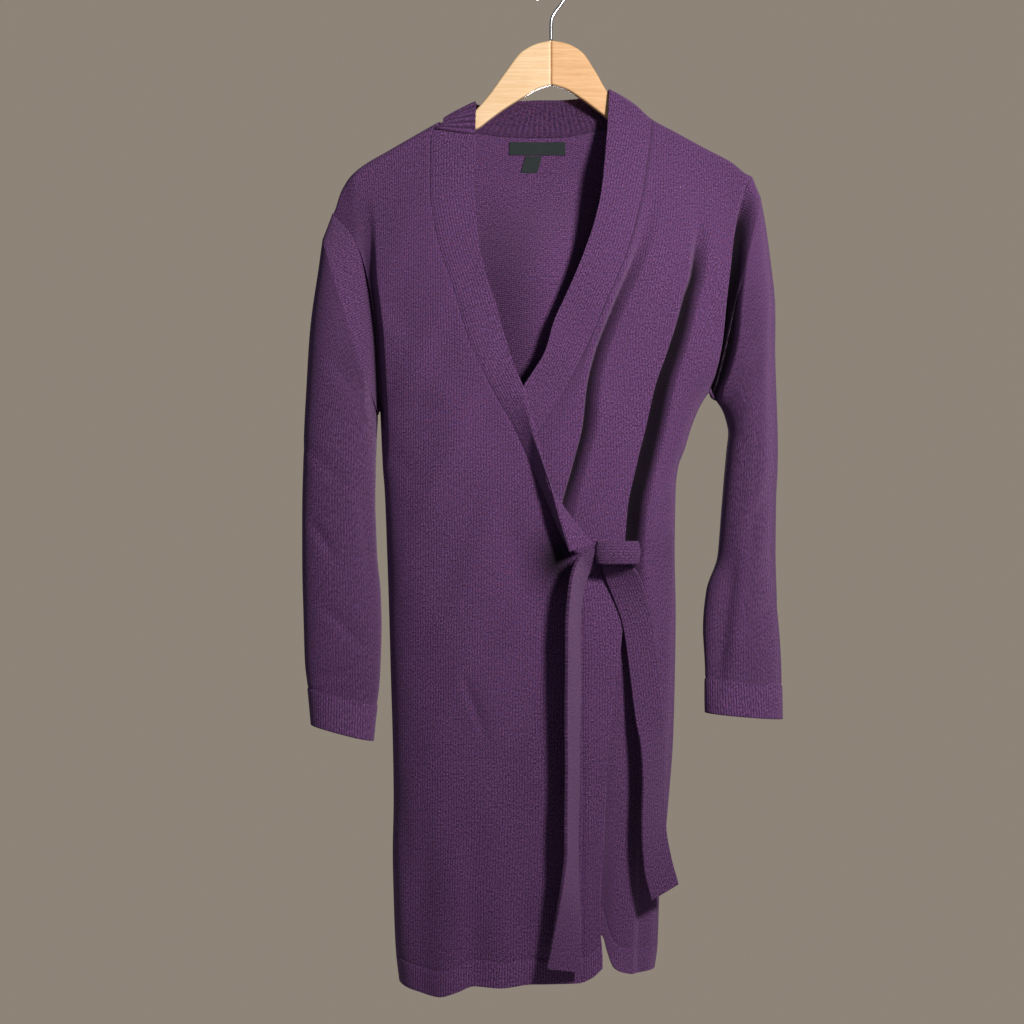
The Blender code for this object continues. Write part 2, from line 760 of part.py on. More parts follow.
fine = np.linspace(0, 1, 801)
seam_line, edge_line = collar_lines(fine)
middle = (seam_line + edge_line) / 2
length = np.r_[0, np.cumsum(np.linalg.norm(np.diff(middle, axis=0), axis=1))]
ribs = int(round(length[-1] / RIB_PITCH))
samples = np.linspace(0, 1, ribs * RIB_SAMPLES + 1)
places = np.interp(samples * length[-1], length, fine)
seam_line, edge_line = collar_lines(places)
rib_wave = RIB_RAISE * (0.5 - 0.5 * np.cos(samples * ribs * 2 * math.pi))
collar_net = np.stack([seam_line + (edge_line - seam_line) * s for s in (0.0, 0.5, 1.0)], axis=0)
shell(
    "back_neck_collar", collar_net, BAND_WALL, rib_knit,
    raised=np.repeat(rib_wave[None], 3, axis=0), flip=True,
)

# The sleeves: rings from the armhole, turning from upright to level as they go down to the cuff
SLEEVE_RIGHT = table(
    "ring outer_x outer_drop inner_x inner_drop deep out",
    (1, -251, 290, -190.5, 483, 35, -1),
    (2, -258, 335, -191.5, 490, 37, -1),
    (3, -264, 392, -192.0, 499, 38, -1),
    (4, -268, 455, -192.5, 512, 37, 0),
    (5, -272, 520, -192.5, 536, 35, 2),
    (6, -273.5, 580, -191.5, 584, 33, 4),
    (7, -273, 643, -188.5, 648, 31, 6),
    (8, -272, 706, -186, 716, 29, 8),
    (9, -268.5, 757, -187.5, 772, 27, 10),
    (10, -265, 783, -190, 800, 25, 11),
    (11, -262, 822, -194, 840, 25, 12),
)
SLEEVE_LEFT = table(
    "ring outer_x outer_drop inner_x inner_drop deep out",
    (1, 230, 243, 177.5, 463, 34, -1),
    (2, 237, 280, 184, 470, 37, -1),
    (3, 242, 319, 190, 479, 39, -1),
    (4, 245.5, 368, 193.5, 490, 41, 0),
    (5, 246.5, 429, 195.5, 503, 42, 1),
    (6, 247.5, 500, 193, 524, 42, 2),
    (7, 246.5, 577, 187.5, 586, 40, 4),
    (8, 246.5, 632, 182.5, 637, 36, 6),
    (9, 248, 676, 170.5, 677, 30, 8),
    (10, 250, 731, 165.5, 726, 25, 10),
    (11, 251, 778, 166, 773, 24, 11),
    (12, 252, 816, 168, 809, 24, 12),
)
SLEEVE_POWER = 2.25


def sleeve(name, armhole, rings, material, cuff_from):
    """A tube from the armhole's edge, through rings that each have an outer and an inner end, and a depth."""
    ends = np.stack([along(armhole, "x", armhole["drop"][[0, -1]]), armhole["drop"][[0, -1]]], axis=-1)
    level = ROWS[:ARMHOLE_ROWS] / UNDERARM
    drop = ends[0, 1] + (ends[1, 1] - ends[0, 1]) * level
    hole = np.stack([along(armhole, "x", drop), drop], axis=-1)
    front = in_space(hole, np.maximum(body_depth(hole[:, 0], hole[:, 1], front=True), 0))
    back = in_space(hole, -np.maximum(body_depth(hole[:, 0], hole[:, 1], front=False), 0))
    first = np.concatenate([front, back[-2:0:-1]])
    first[0, 1], first[len(front) - 1, 1] = 0.0, 0.0
    turn = np.arccos(1 - 2 * level)
    turn = np.r_[turn, 2 * math.pi - turn[-2:0:-1]]
    count = int(rings["ring"][-1])
    cuff_steps = np.r_[cuff_from - 0.08, np.linspace(cuff_from, count, 3)]
    steps = np.r_[np.arange(1, count - 1, 0.75), cuff_steps]
    nets = []
    for step in steps:
        row = {column: float(along(rings, column, step, key="ring")) for column in rings}
        outer = np.array([row["outer_x"], row["outer_drop"]])
        inner = np.array([row["inner_x"], row["inner_drop"]])
        cosine, sine = np.cos(turn), np.sin(turn)
        reach = np.sign(cosine) * np.abs(cosine) ** (2 / SLEEVE_POWER)
        bulge = np.sign(sine) * np.abs(sine) ** (2 / SLEEVE_POWER)
        flat = (outer + inner) / 2 + (outer - inner) / 2 * reach[:, None]
        nets.append(in_space(flat, row["out"] + row["deep"] * bulge))
    away = nets[0] - first
    away = away / np.linalg.norm(away, axis=1)[:, None]
    nets.insert(0, first + away * SLEEVE_GAP)
    net = np.stack(nets, axis=0)
    net = np.concatenate([net, net[:, :1]], axis=1)
    levels = np.r_[0, steps]
    raised = np.repeat(TURNED_RAISE * (levels >= cuff_from)[:, None], net.shape[1], axis=1)
    shell(name, net, PANEL_WALL, material, raised=raised, closed=True, flip=name == "sleeve_right")


sleeve("sleeve_right", ARMHOLE_RIGHT, SLEEVE_RIGHT, knit["knit_sleeve_right"], 10.0)
sleeve("sleeve_left", ARMHOLE_LEFT, SLEEVE_LEFT, knit["knit_sleeve_left"], 11.0)

# The tie: each length is a strap between its two edges
TIE_LONG = table(
    "place near_x near_drop near_out far_x far_drop far_out",
    (0, 44.8, 629.0, 90, 44.8, 642, 74),
    (1, 41, 630.5, 93, 45, 648, 72),
    (2, 31, 637, 97, 39, 658, 71),
    (3, 23, 652, 101, 34, 676, 70),
    (4, 19, 676, 103, 32, 697, 69),
    (5, 16.5, 720, 104, 31, 727, 69.5),
    (6, 16, 787, 104, 31, 790, 70),
    (7, 16, 871, 105, 30, 874, 71),
    (8, 15.5, 944, 106, 29, 948, 73),
    (9, 12, 976, 106, 29, 983, 75),
    (10, 4, 1024, 102, 31, 1030, 79),
    (11, -6, 1071, 97, 32, 1078, 83),
)
TIE_SHORT = table(
    "place near_x near_drop near_out far_x far_drop far_out",
    (-1.5, 58.0, 624, 80, 83, 624, 79),
    (-0.6, 58.5, 640, 78, 83.7, 640, 76),
    (0, 60.5, 649, 75, 85.4, 648, 72),
    (1, 64, 662, 71, 93, 660, 68),
    (2, 70, 684, 69, 101, 682, 65),
    (3, 76, 709, 69, 107, 706, 63),
    (4, 80, 740, 70, 112, 735, 62),
    (5, 84, 772, 71, 116, 766, 61),
    (6, 89, 810, 73, 119, 805, 60),
    (7, 95, 842, 76, 120.5, 838, 57),
    (8, 97, 880, 78, 122, 878, 56),
    (9, 96, 930, 79, 123.5, 928, 56),
    (10, 98, 968, 78, 128, 958, 58),
    (11, 106, 1003, 76, 136, 988, 62),
)
KNOT_LOOP = table(
    "place x out",
    (0, 69, 94),
    (1, 82, 92),
    (2, 90.5, 87),
    (3, 91, 77),
    (4, 84, 64),
    (5, 69, 57.0),
    (6, 54.4, 63),
    (7, 46.8, 76),
    (8, 47.8, 87),
    (9, 57, 93),
    (10, 69, 94),
)
KNOT_TOP = 621.0
KNOT_BOTTOM = 645.0
KNOT_SWELL = 2.2
KNOT_WALL = 3.0
LIP = table(
    "place top_x top_drop top_out low_x low_drop low_out",
    (0, 20.5, 641.2, 90, 18.5, 645.5, 85),
    (1, 26, 635.8, 90, 25, 640.6, 86.6),
    (2, 33, 630.0, 89.5, 33, 634.2, 86.4),
    (3, 38.5, 626.6, 87, 38.5, 630.0, 84.0),
    (4, 43, 625.2, 85, 43, 628.4, 82.0),
)


def strap(name, lines, first, second, steps, across, wall):
    """A strap of cloth between two named edge lines."""
    places = np.linspace(lines["place"][0], lines["place"][-1], steps)
    edges = []
    for side in (first, second):
        x, drop, out = (along(lines, f"{side}_{axis}", places, key="place") for axis in ("x", "drop", "out"))
        edges.append(in_space(np.stack([x, drop], axis=-1), out))
    net = np.stack([edges[0] + (edges[1] - edges[0]) * s for s in np.linspace(0, 1, across)], axis=1)
    shell(name, net, wall, tie_knit, flip=True)


strap("tie_end_long", TIE_LONG, "near", "far", 30, 4, TIE_WALL)
strap("tie_end_short", TIE_SHORT, "near", "far", 26, 4, TIE_WALL)
strap("tie_lip", LIP, "top", "low", 7, 3, LIP_WALL)
loop_steps = np.linspace(0, 10, 25)
loop_x, loop_out = (along(KNOT_LOOP, axis, loop_steps, key="place") for axis in ("x", "out"))
centre_x, centre_out = loop_x.mean(), loop_out.mean()
levels = []
for share in (0.0, 0.25, 0.5, 0.75, 1.0):
    swell = KNOT_SWELL * (1 - (2 * share - 1) ** 2)
    away = np.stack([loop_x - centre_x, loop_out - centre_out], axis=-1)
    away = away / np.linalg.norm(away, axis=1)[:, None]
    drop = np.full(len(loop_x), KNOT_TOP + (KNOT_BOTTOM - KNOT_TOP) * share)
    places = np.stack([loop_x + away[:, 0] * swell, drop], axis=-1)
    levels.append(in_space(places, loop_out + away[:, 1] * swell))
shell("tie_knot_loop", np.stack(levels, axis=0), KNOT_WALL, tie_knit, closed=True, flip=True)

# Labels on the inside of the back, below the collar
LABEL_LIFT = 0.85
LABEL = {"left": -46.0, "right": 16.5, "top": 180.0, "bottom": 194.0}
SIZE_TAG = {"left": -30.0, "right": -9.0, "top": 195.0, "bottom": 213.0}


def label(name, size, columns, rows):
    x = np.linspace(size["left"], size["right"], columns)
    drop = np.linspace(size["top"], size["bottom"], rows)
    places = np.stack(np.meshgrid(x, drop), axis=-1)
    shell(name, in_space(places, PANEL_WALL + LABEL_LIFT - back_depth(places)), LABEL_WALL, label_cloth)


label("neck_label", LABEL, 8, 4)
label("size_tag", SIZE_TAG, 4, 4)

# The hanger's arms: flat boards of wood with rounded edges, and the hook bent from wire
ARM_LEFT = table(
    "x top bottom",
    (-214, 232, 238),
    (-208, 222, 244),
    (-197, 213.5, 242),
    (-179, 202.5, 231),
    (-153, 188, 217),
    (-123, 171, 201),
    (-100, 159.5, 186),
    (-86, 151.5, 174),
    (-79, 144.5, 168),
    (-68, 131.5, 159.5),
    (-50.6, 107.3, 147),
    (-32, 84, 135.5),
    (-14, 75, 125),
    (0, HANGER_TOP, 120.5),
)
ARM_RIGHT = table(
    "x top bottom",
    (0, HANGER_TOP, 120.5),
    (16, 75, 125.5),
    (33, 84, 136),
    (48, 105, 147),
    (61, 127.5, 157),
    (76, 147, 170),
    (94, 157, 183),
    (109, 170, 195),
    (136, 182, 209),
    (169, 199.5, 226),
    (188, 210, 236),
    (199, 217, 239),
    (205, 226, 236),
)


def arm(name, rows, joint_side):
    x = np.linspace(rows["x"][0], rows["x"][-1], ARM_STEPS)
    top, bottom = along(rows, "top", x, key="x"), along(rows, "bottom", x, key="x")
    x[joint_side] += JOINT_GAP * (1 if joint_side == 0 else -1)
    outline = list(zip(x, top)) + list(zip(x[::-1], bottom[::-1]))
    curve = bpy.data.curves.new(name, "CURVE")
    curve.dimensions = "2D"
    curve.fill_mode = "BOTH"
    curve.extrude = (ARM_THICK / 2 - ARM_EDGE) * MM
    curve.bevel_depth = ARM_EDGE * MM
    curve.bevel_resolution = 1
    curve.offset = -ARM_EDGE * MM
    line = curve.splines.new("POLY")
    line.points.add(len(outline) - 1)
    for point, (at_x, drop) in zip(line.points, outline):
        point.co = (at_x * MM, -drop * MM, 0.0, 1.0)
    line.use_cyclic_u = True
    return meshed(name, curve, wood, Matrix.Rotation(math.radians(90), 4, "X"))


def meshed(name, curve, material, turn=None):
    """A curve as a mesh object, with the points where its caps meet its sides made one."""
    drawn = bpy.data.objects.new(name + "_line", curve)
    DRESS.objects.link(drawn)
    solid = bmesh.new()
    solid.from_mesh(drawn.to_mesh())
    drawn.to_mesh_clear()
    bpy.data.objects.remove(drawn)
    if turn is not None:
        bmesh.ops.transform(solid, matrix=turn, verts=solid.verts)
    bmesh.ops.remove_doubles(solid, verts=solid.verts, dist=1e-5)
    bmesh.ops.recalc_face_normals(solid, faces=solid.faces[:])
    return stored(name, solid, material)


arm("hanger_arm_left", ARM_LEFT, -1)
arm("hanger_arm_right", ARM_RIGHT, 0)

HOOK_BEND = table(
    "turn",
    (-38,), (-20,), (0,), (20,), (40,), (60,), (80,), (100,), (120,), (140,), (160,), (180,), (200,), (216,),
)
wire_radius = HOOK_WIRE / 2
crook = HOOK_INNER + wire_radius
hook_line = [(0.0, HANGER_TOP - HOOK_REST), (0.0, 62.0), (0.0, 54.0), (1.2, 46.5), (5.0, 39.5), (9.8, 33.5)]
for turn in np.radians(HOOK_BEND["turn"]):
    hook_line.append((crook * math.cos(turn), HOOK_INNER - crook * math.sin(turn)))
wire = bpy.data.curves.new("hanger_hook", "CURVE")
wire.dimensions = "3D"
wire.bevel_depth = wire_radius * MM
wire.bevel_resolution = 2
wire.use_fill_caps = True
bend = wire.splines.new("POLY")
bend.points.add(len(hook_line) - 1)
for point, (at_x, drop) in zip(bend.points, hook_line):
    point.co = (at_x * MM, 0.0, -drop * MM, 1.0)
meshed("hanger_hook", wire, steel)
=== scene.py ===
"""The looks of a plum wrap dress, knitted in wool, on its two-piece wooden hanger.

Every cloth piece is a net of points: rows go down the dress and columns go across it. The tables are in
millimetres: x is to the viewer's right of the hook, drop is the distance below the hook's crown, and out is
towards the viewer. weave is the knit's own map, in millimetres across its wales and along them.
"""
import math

import bmesh
import bpy
import numpy as np
from mathutils import Matrix, Vector


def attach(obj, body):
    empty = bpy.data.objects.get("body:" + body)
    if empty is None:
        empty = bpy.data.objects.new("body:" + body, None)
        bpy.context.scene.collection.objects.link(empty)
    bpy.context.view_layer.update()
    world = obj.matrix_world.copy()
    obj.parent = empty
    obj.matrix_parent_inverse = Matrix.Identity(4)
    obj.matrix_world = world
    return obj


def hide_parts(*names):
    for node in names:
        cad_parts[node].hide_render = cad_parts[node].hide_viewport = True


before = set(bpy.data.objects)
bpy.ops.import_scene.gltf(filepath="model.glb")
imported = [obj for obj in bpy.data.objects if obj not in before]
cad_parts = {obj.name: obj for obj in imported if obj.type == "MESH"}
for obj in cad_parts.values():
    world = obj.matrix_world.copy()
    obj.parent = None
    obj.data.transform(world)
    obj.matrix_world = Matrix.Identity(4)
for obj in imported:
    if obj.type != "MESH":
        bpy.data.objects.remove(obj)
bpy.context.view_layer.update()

MM = 0.001
BODY_NAME = "root"
TAU = 2 * math.pi

# Walls and seams
PANEL_WALL = 2.2
BAND_WALL = 2.8
BAND_RAISE = 0.5
TIE_WALL = 3.4
LIP_WALL = 2.2
LABEL_WALL = 0.7
SEAM_LAP = 0.3
SIDE_GAP = 0.2
SLEEVE_LAP = 0.9
HEM_HEIGHT = 27.0
TURNED_RAISE = 0.7
RIB_PITCH = 5.2

# Hanger
ARM_THICK = 10.4
ARM_EDGE = 2.2
JOINT_GAP = 0.2
HOOK_WIRE = 3.6
HOOK_INNER = 16.0
HOOK_REST = 0.3
HANGER_TOP = 72.0

# The roundness of the body's section, 2 being an ellipse
SECTION_POWER = 2.6
# Cloth over an arm of the hanger: radius of the ridge, and how far the arm holds the cloth out
RIDGE_RADIUS = 8.0
ARM_HOLD = 11.0
ARM_HOLD_END = 213.0
ARM_HOLD_FADE = 24.0
ARM_HOLD_BELOW = (30.0, 90.0)
HOLD_BLEND = 3.0
# How far the under-front lies behind the over-front
LAYER_STEP = 9.0
LAYER_START = 300.0
LAYER_FULL = 450.0
# Where the body is deep enough for its folds to start, and to be full
FOLD_SHALLOW = 20.0
FOLD_DEEP = 45.0


def table(names, *rows):
    """A table with a named column for each number of its rows."""
    return dict(zip(names.split(), np.array(rows, float).T))


def along(rows, column, place, key="drop"):
    """The column's value at each place between the rows, on a smooth line that never overshoots them."""
    x, y, place = rows[key], rows[column], np.asarray(place, float)
    step = np.diff(x)
    slope = np.diff(y) / step
    tangent = np.zeros_like(y)
    before, after = slope[:-1], slope[1:]
    same = before * after > 0
    near, far = 2 * step[1:] + step[:-1], step[1:] + 2 * step[:-1]
    with np.errstate(divide="ignore", invalid="ignore"):
        mean = (near + far) / (near / before + far / after)
    tangent[1:-1] = np.where(same, mean, 0.0)
    tangent[0], tangent[-1] = slope[0], slope[-1]
    at = np.clip(np.searchsorted(x, place) - 1, 0, len(step) - 1)
    h, t = step[at], np.clip((place - x[at]) / step[at], 0.0, 1.0)
    return (
        y[at] * (1 + 2 * t) * (1 - t) ** 2
        + h * tangent[at] * t * (1 - t) ** 2
        + y[at + 1] * t * t * (3 - 2 * t)
        + h * tangent[at + 1] * t * t * (t - 1)
    )


def ramp(value, start, full):
    """From 0 at start to 1 at full, eased at both ends."""
    t = np.clip((np.asarray(value, float) - start) / (full - start), 0.0, 1.0)
    return t * t * (3 - 2 * t)


# How finely a net is drawn, in steps for each step of its tables
ROW_STEPS = 9
COLUMN_STEPS = 10


def finer(values, steps):
    """The rows of an array, with this many steps between each two."""
    values = np.asarray(values, float)
    at = np.linspace(0, len(values) - 1, (len(values) - 1) * steps + 1)
    index = np.minimum(at.astype(int), len(values) - 2)
    part = (at - index).reshape((-1,) + (1,) * (values.ndim - 1))
    return values[index] * (1 - part) + values[index + 1] * part


def rounded(values, steps):
    """The rows of an array on a round line through them, with this many steps between each two."""
    values = np.asarray(values, float)
    at = np.linspace(0, len(values) - 1, (len(values) - 1) * steps + 1)
    index = np.minimum(at.astype(int), len(values) - 2)
    t = (at - index).reshape((-1,) + (1,) * (values.ndim - 1))
    ends = np.concatenate([2 * values[:1] - values[1:2], values, 2 * values[-1:] - values[-2:-1]])
    a, b, c, d = ends[index], ends[index + 1], ends[index + 2], ends[index + 3]
    return b + t * (c - a + t * (2 * a - 5 * b + 4 * c - d + t * (3 * (b - c) + d - a))) / 2


def rounded_across(net, steps):
    return np.swapaxes(rounded(np.swapaxes(net, 0, 1), steps), 0, 1)


# The body seen from the front: its two sides, and how deep it is in front of and behind the hanger
BODY = table(
    "drop left right front back",
    (150, -215, 212, 32, 32),
    (223, -228, 221, 36, 37),
    (262, -240, 228, 39, 41),
    (300, -240, 227, 41, 44),
    (350, -234, 221, 44, 47),
    (400, -222, 212, 46, 49),
    (440, -204, 190, 49, 51),
    (458, -196, 174, 50, 52),
    (478, -188, 162, 52, 53),
    (498, -187, 154, 53, 54),
    (521, -186, 147, 55, 56),
    (540, -185, 140, 57, 57),
    (565, -183, 137, 59, 59),
    (640, -180, 136, 62, 62),
    (700, -178, 137, 64, 64),
    (773, -176, 136, 66, 66),
    (841, -174, 134, 67, 68),
    (907, -173, 129, 68, 70),
    (962, -174, 124, 69, 71),
    (1010, -173, 119, 70, 72),
    (1064, -171, 117, 70, 73),
    (1110, -166, 110, 70, 74),
)
# The line over the shoulders and over the arms of the hanger
RIDGE = table(
    "x drop",
    (-246, 264),
    (-240, 262),
    (-231, 238),
    (-222, 223),
    (-209, 211),
    (-179, 193),
    (-153, 178),
    (-123, 161),
    (-82, 139),
    (-50, 122),
    (-10, 110),
    (30, 114),
    (64, 125),
    (93, 142),
    (109, 157),
    (136, 172),
    (169, 190),
    (199, 206),
    (214, 218),
    (222, 222),
    (230, 233),
)
# How much of the body's depth is reached at each distance below the ridge
GROWTH = table(
    "below share",
    (0, 0.30),
    (30, 0.44),
    (60, 0.60),
    (100, 0.79),
    (150, 0.92),
    (230, 1.0),
)
# The long soft folds, down the cloth: x at two drops, the width either side, the depth and where each fades.
# The last row of the back is wide: there it sinks between the shoulders, as it hangs straight from its neck.
BACK_FOLDS = table(
    "x_top x_bottom left right deep start end",
    (-128, -118, 26, 20, 9, 330, 860),
    (-58, -72, 22, 28, 7, 520, 1180),
    (22, 6, 24, 20, 10, 420, 1180),
    (88, 66, 18, 26, 12, 300, 1180),
    (-12, -14, 78, 78, 42, 200, 580),
)
OVER_FOLDS = table(
    "x_top x_bottom left right deep start end",
    (-144, -138, 13, 15, 4, 830, 1250),
    (-88, -84, 15, 18, 3.5, 860, 1250),
    (-34, -30, 16, 16, 2.5, 900, 1250),
)
FOLD_FADE = 150.0
HEM_DROP = 1100.0
FOLD_TOP = 200.0


def body_depth(x, drop, front, under=False):
    """How far the outside of the cloth lies from the plane of the hanger, at a place seen from the front."""
    x, drop = np.asarray(x, float), np.asarray(drop, float)
    left, right = along(BODY, "left", drop), along(BODY, "right", drop)
    across = np.clip((2 * x - left - right) / (right - left), -1.0, 1.0)
    section = (1 - np.abs(across) ** SECTION_POWER) ** (1 / SECTION_POWER)
    below = np.maximum(drop - along(RIDGE, "drop", x, key="x"), 0.0)
    full = along(BODY, "front" if front else "back", drop)
    over_ridge = np.sqrt(1 - (1 - np.minimum(below / RIDGE_RADIUS, 1.0)) ** 2)
    depth = full * along(GROWTH, "share", below, key="below") * section * over_ridge
    if under:
        depth = depth - LAYER_STEP * ramp(drop, LAYER_START, LAYER_FULL) * section
    held = ARM_HOLD * over_ridge * (1 - ramp(np.abs(x), ARM_HOLD_END, ARM_HOLD_END + ARM_HOLD_FADE))
    held = held * (1 - ramp(below, *ARM_HOLD_BELOW))
    return (depth + held + np.sqrt((depth - held) ** 2 + HOLD_BLEND ** 2) - HOLD_BLEND) / 2


def folded(depth, x, drop, folds):
    """The body's depth less its soft folds, where it is deep enough to have them."""
    sunk = np.zeros_like(x)
    for i in range(len(folds["deep"])):
        fold = {name: column[i] for name, column in folds.items()}
        share = (drop - FOLD_TOP) / (HEM_DROP - FOLD_TOP)
        away = x - (fold["x_top"] + (fold["x_bottom"] - fold["x_top"]) * share)
        width = np.where(away < 0, fold["left"], fold["right"])
        level = ramp(drop, fold["start"], fold["start"] + FOLD_FADE)
        level = level * (1 - ramp(drop, fold["end"] - FOLD_FADE, fold["end"]))
        sunk = sunk + fold["deep"] * level * np.exp(-((away / width) ** 2))
    return depth - sunk * ramp(depth, FOLD_SHALLOW, FOLD_DEEP)


# Levels of a panel's rows, from 0 at its top edge through UNDERARM to 1 at the hem
UNDERARM = 0.26
ROWS = np.array(
    [0, 0.0022, 0.007, 0.016, 0.034, 0.060, 0.096, 0.135, 0.175, 0.215, 0.245, UNDERARM, 0.300, 0.345, 0.390]
    + [0.435, 0.480, 0.530, 0.590, 0.660, 0.740, 0.820, 0.900, 0.966, 0.970, 1.0]
)

# The armholes, seen from the front, from the shoulder's end to the underarm
ARMHOLE_RIGHT = table(
    "drop x",
    (262, -240.5),
    (270, -233),
    (283, -222),
    (303, -210),
    (329, -202),
    (362, -196),
    (406, -191),
    (450, -189),
    (478, -188.3),
)
ARMHOLE_LEFT = table(
    "drop x",
    (222, 221.3),
    (236, 213),
    (263, 206),
    (294, 200.5),
    (324, 197),
    (357, 193),
    (406, 188),
    (439, 181),
    (458, 174.3),
)
# The seam between the over-front and its band, and the band's free edge with the crest it stands up in
OVER_SEAM = table(
    "drop x",
    (161, -123),
    (171, -129),
    (186, -132),
    (236, -132),
    (276, -127),
    (306, -120),
    (344, -107),
    (383, -96),
    (417, -84),
    (443, -71),
    (472, -56),
    (489, -46),
    (518, -32),
    (550, -18),
    (580, -5),
    (609, 7),
    (633, 19),
    (658, 27),
    (684, 31),
    (737, 33),
    (900, 33),
    (1096, 31),
)
OVER_BAND = table(
    "drop crest edge crest_out edge_out",
    (171, -86, -83, 0, 0),
    (186, -90, -83, 0, 0),
    (232, -91, -84, 0, 0),
    (288, -86, -80, 0, 0),
    (333, -76, -71, 0, 0),
    (359, -67, -62, 0, 0),
    (395, -57, -52, 0, 0),
    (430, -46, -41, 0.5, 0.5),
    (452, -37, -32, 3, 3),
    (475, -29, -24, 8, 8),
    (513, -19, -16, 16, 16),
    (545, -8, -6, 22, 21),
    (567, -1, 1, 25, 23),
    (588, 5, 15, 27, 22),
    (609, 13, 31, 28, 20),
    (625, 19, 44, 28, 20),
)
OVER_LOWER_EDGE = table(
    "drop x",
    (634, 70),
    (652, 72),
    (684, 75),
    (709, 76),
    (737, 74),
    (769, 69),
    (813, 64),
    (846, 61),
    (873, 59),
    (918, 57),
    (970, 55),
    (1009, 52),
    (1047, 52),
    (1078, 54),
)
# The under-front: its band's free edge, the band's seam, two folds drawn towards the tie, and where they go
UNDER_LINES = table(
    "drop edge seam fold_a fold_b",
    (125, 64, 109, 124, 166),
    (161, 62, 109, 124, 166),
    (197, 59, 105.5, 120, 166),
    (243, 54, 98, 112, 165),
    (280, 45, 89.5, 102, 161),
    (309, 35, 81, 92, 157),
    (336, 24, 70, 81, 152),
    (356, 15, 61, 72, 145),
    (385, 2, 49, 60, 137),
    (413, -6, 36, 49, 128),
    (453, -30, 16, 39, 114),
    (496, -56, -11, 34, 104),
    (540, -79, -37, 23, 93),
    (588, -98, -54, 10, 83),
    (642, -110, -66, 2, 80),
    (706, -116, -72, -4, 88),
    (792, -118, -74, -6, 98),
    (899, -118, -74, -6, 97),
    (1085, -117, -73, -5, 93),
)
# The hem of each panel, seen from the front
OVER_HEM = table(
    "x drop",
    (-171, 1101),
    (-150, 1106),
    (-122, 1110),
    (-102, 1104),
    (-83, 1097),
    (-56, 1098),
    (-18, 1094),
    (28, 1093),
    (42, 1088),
    (54, 1078),
)
UNDER_HEM = table(
    "x drop",
    (-160, 1040),
    (40, 1040),
    (54, 1044),
    (60, 1064),
    (67, 1080),
    (77, 1086),
    (90, 1089),
    (110, 1088),
)
BACK_HEM = table(
    "x drop",
    (-171, 1096),
    (-150, 1086),
    (-100, 1072),
    (-40, 1064),
    (40, 1062),
    (70, 1072),
    (95, 1086),
    (110, 1088),
)
# The back neck seam, from one shoulder to the other
BACK_NECK = table(
    "x drop",
    (-123, 161),
    (-80, 168),
    (-44, 171.5),
    (-15, 172),
    (13, 171.5),
    (54, 164.5),
    (109, 157),
)
LEFT_NECK = -123.0
RIGHT_NECK = 109.0
# The ends of the shoulders
SHOULDER_RIGHT = -240.5
SHOULDER_LEFT = 221.3
# The drop that the rows of a panel have at the middle of the front, level with the underarms
OVER_LEVEL = 420.0
BAND_LEVEL = 440.0
FOLD_LEVEL = 450.0


# Finishes


class Channel:
    """A socket of a material, on which arithmetic adds Math nodes."""

    def __init__(self, finish, socket):
        self.finish, self.socket = finish, socket

    def with_(self, operation, *others, **settings):
        return self.finish.node(
            "ShaderNodeMath", {"operation": operation, **settings}, dict(enumerate((self, *others)))
        )

    def __add__(self, other):
        return self.with_("ADD", other)

    def __sub__(self, other):
        return self.with_("SUBTRACT", other)

    def __rsub__(self, other):
        return (self * -1.0) + other

    def __mul__(self, other):
        return self.with_("MULTIPLY", other)

    def __truediv__(self, other):
        return self.with_("DIVIDE", other)

    def __pow__(self, other):
        return self.with_("POWER", other)

    def part(self):
        """What is left of the value above its whole number."""
        return self.with_("FRACT")

    def size(self):
        return self.with_("ABSOLUTE")

    def wave(self):
        """From 0 to 1 and back, once for each whole number."""
        return (self * TAU).with_("COSINE") * -0.5 + 0.5

    def between(self, low, high):
        """0 at low and below, 1 at high and above, eased at both ends."""
        return self.finish.node(
            "ShaderNodeMapRange",
            {"interpolation_type": "SMOOTHSTEP"},
            {"Value": self, "From Min": low, "From Max": high},
        )

    __radd__ = __add__
    __rmul__ = __mul__


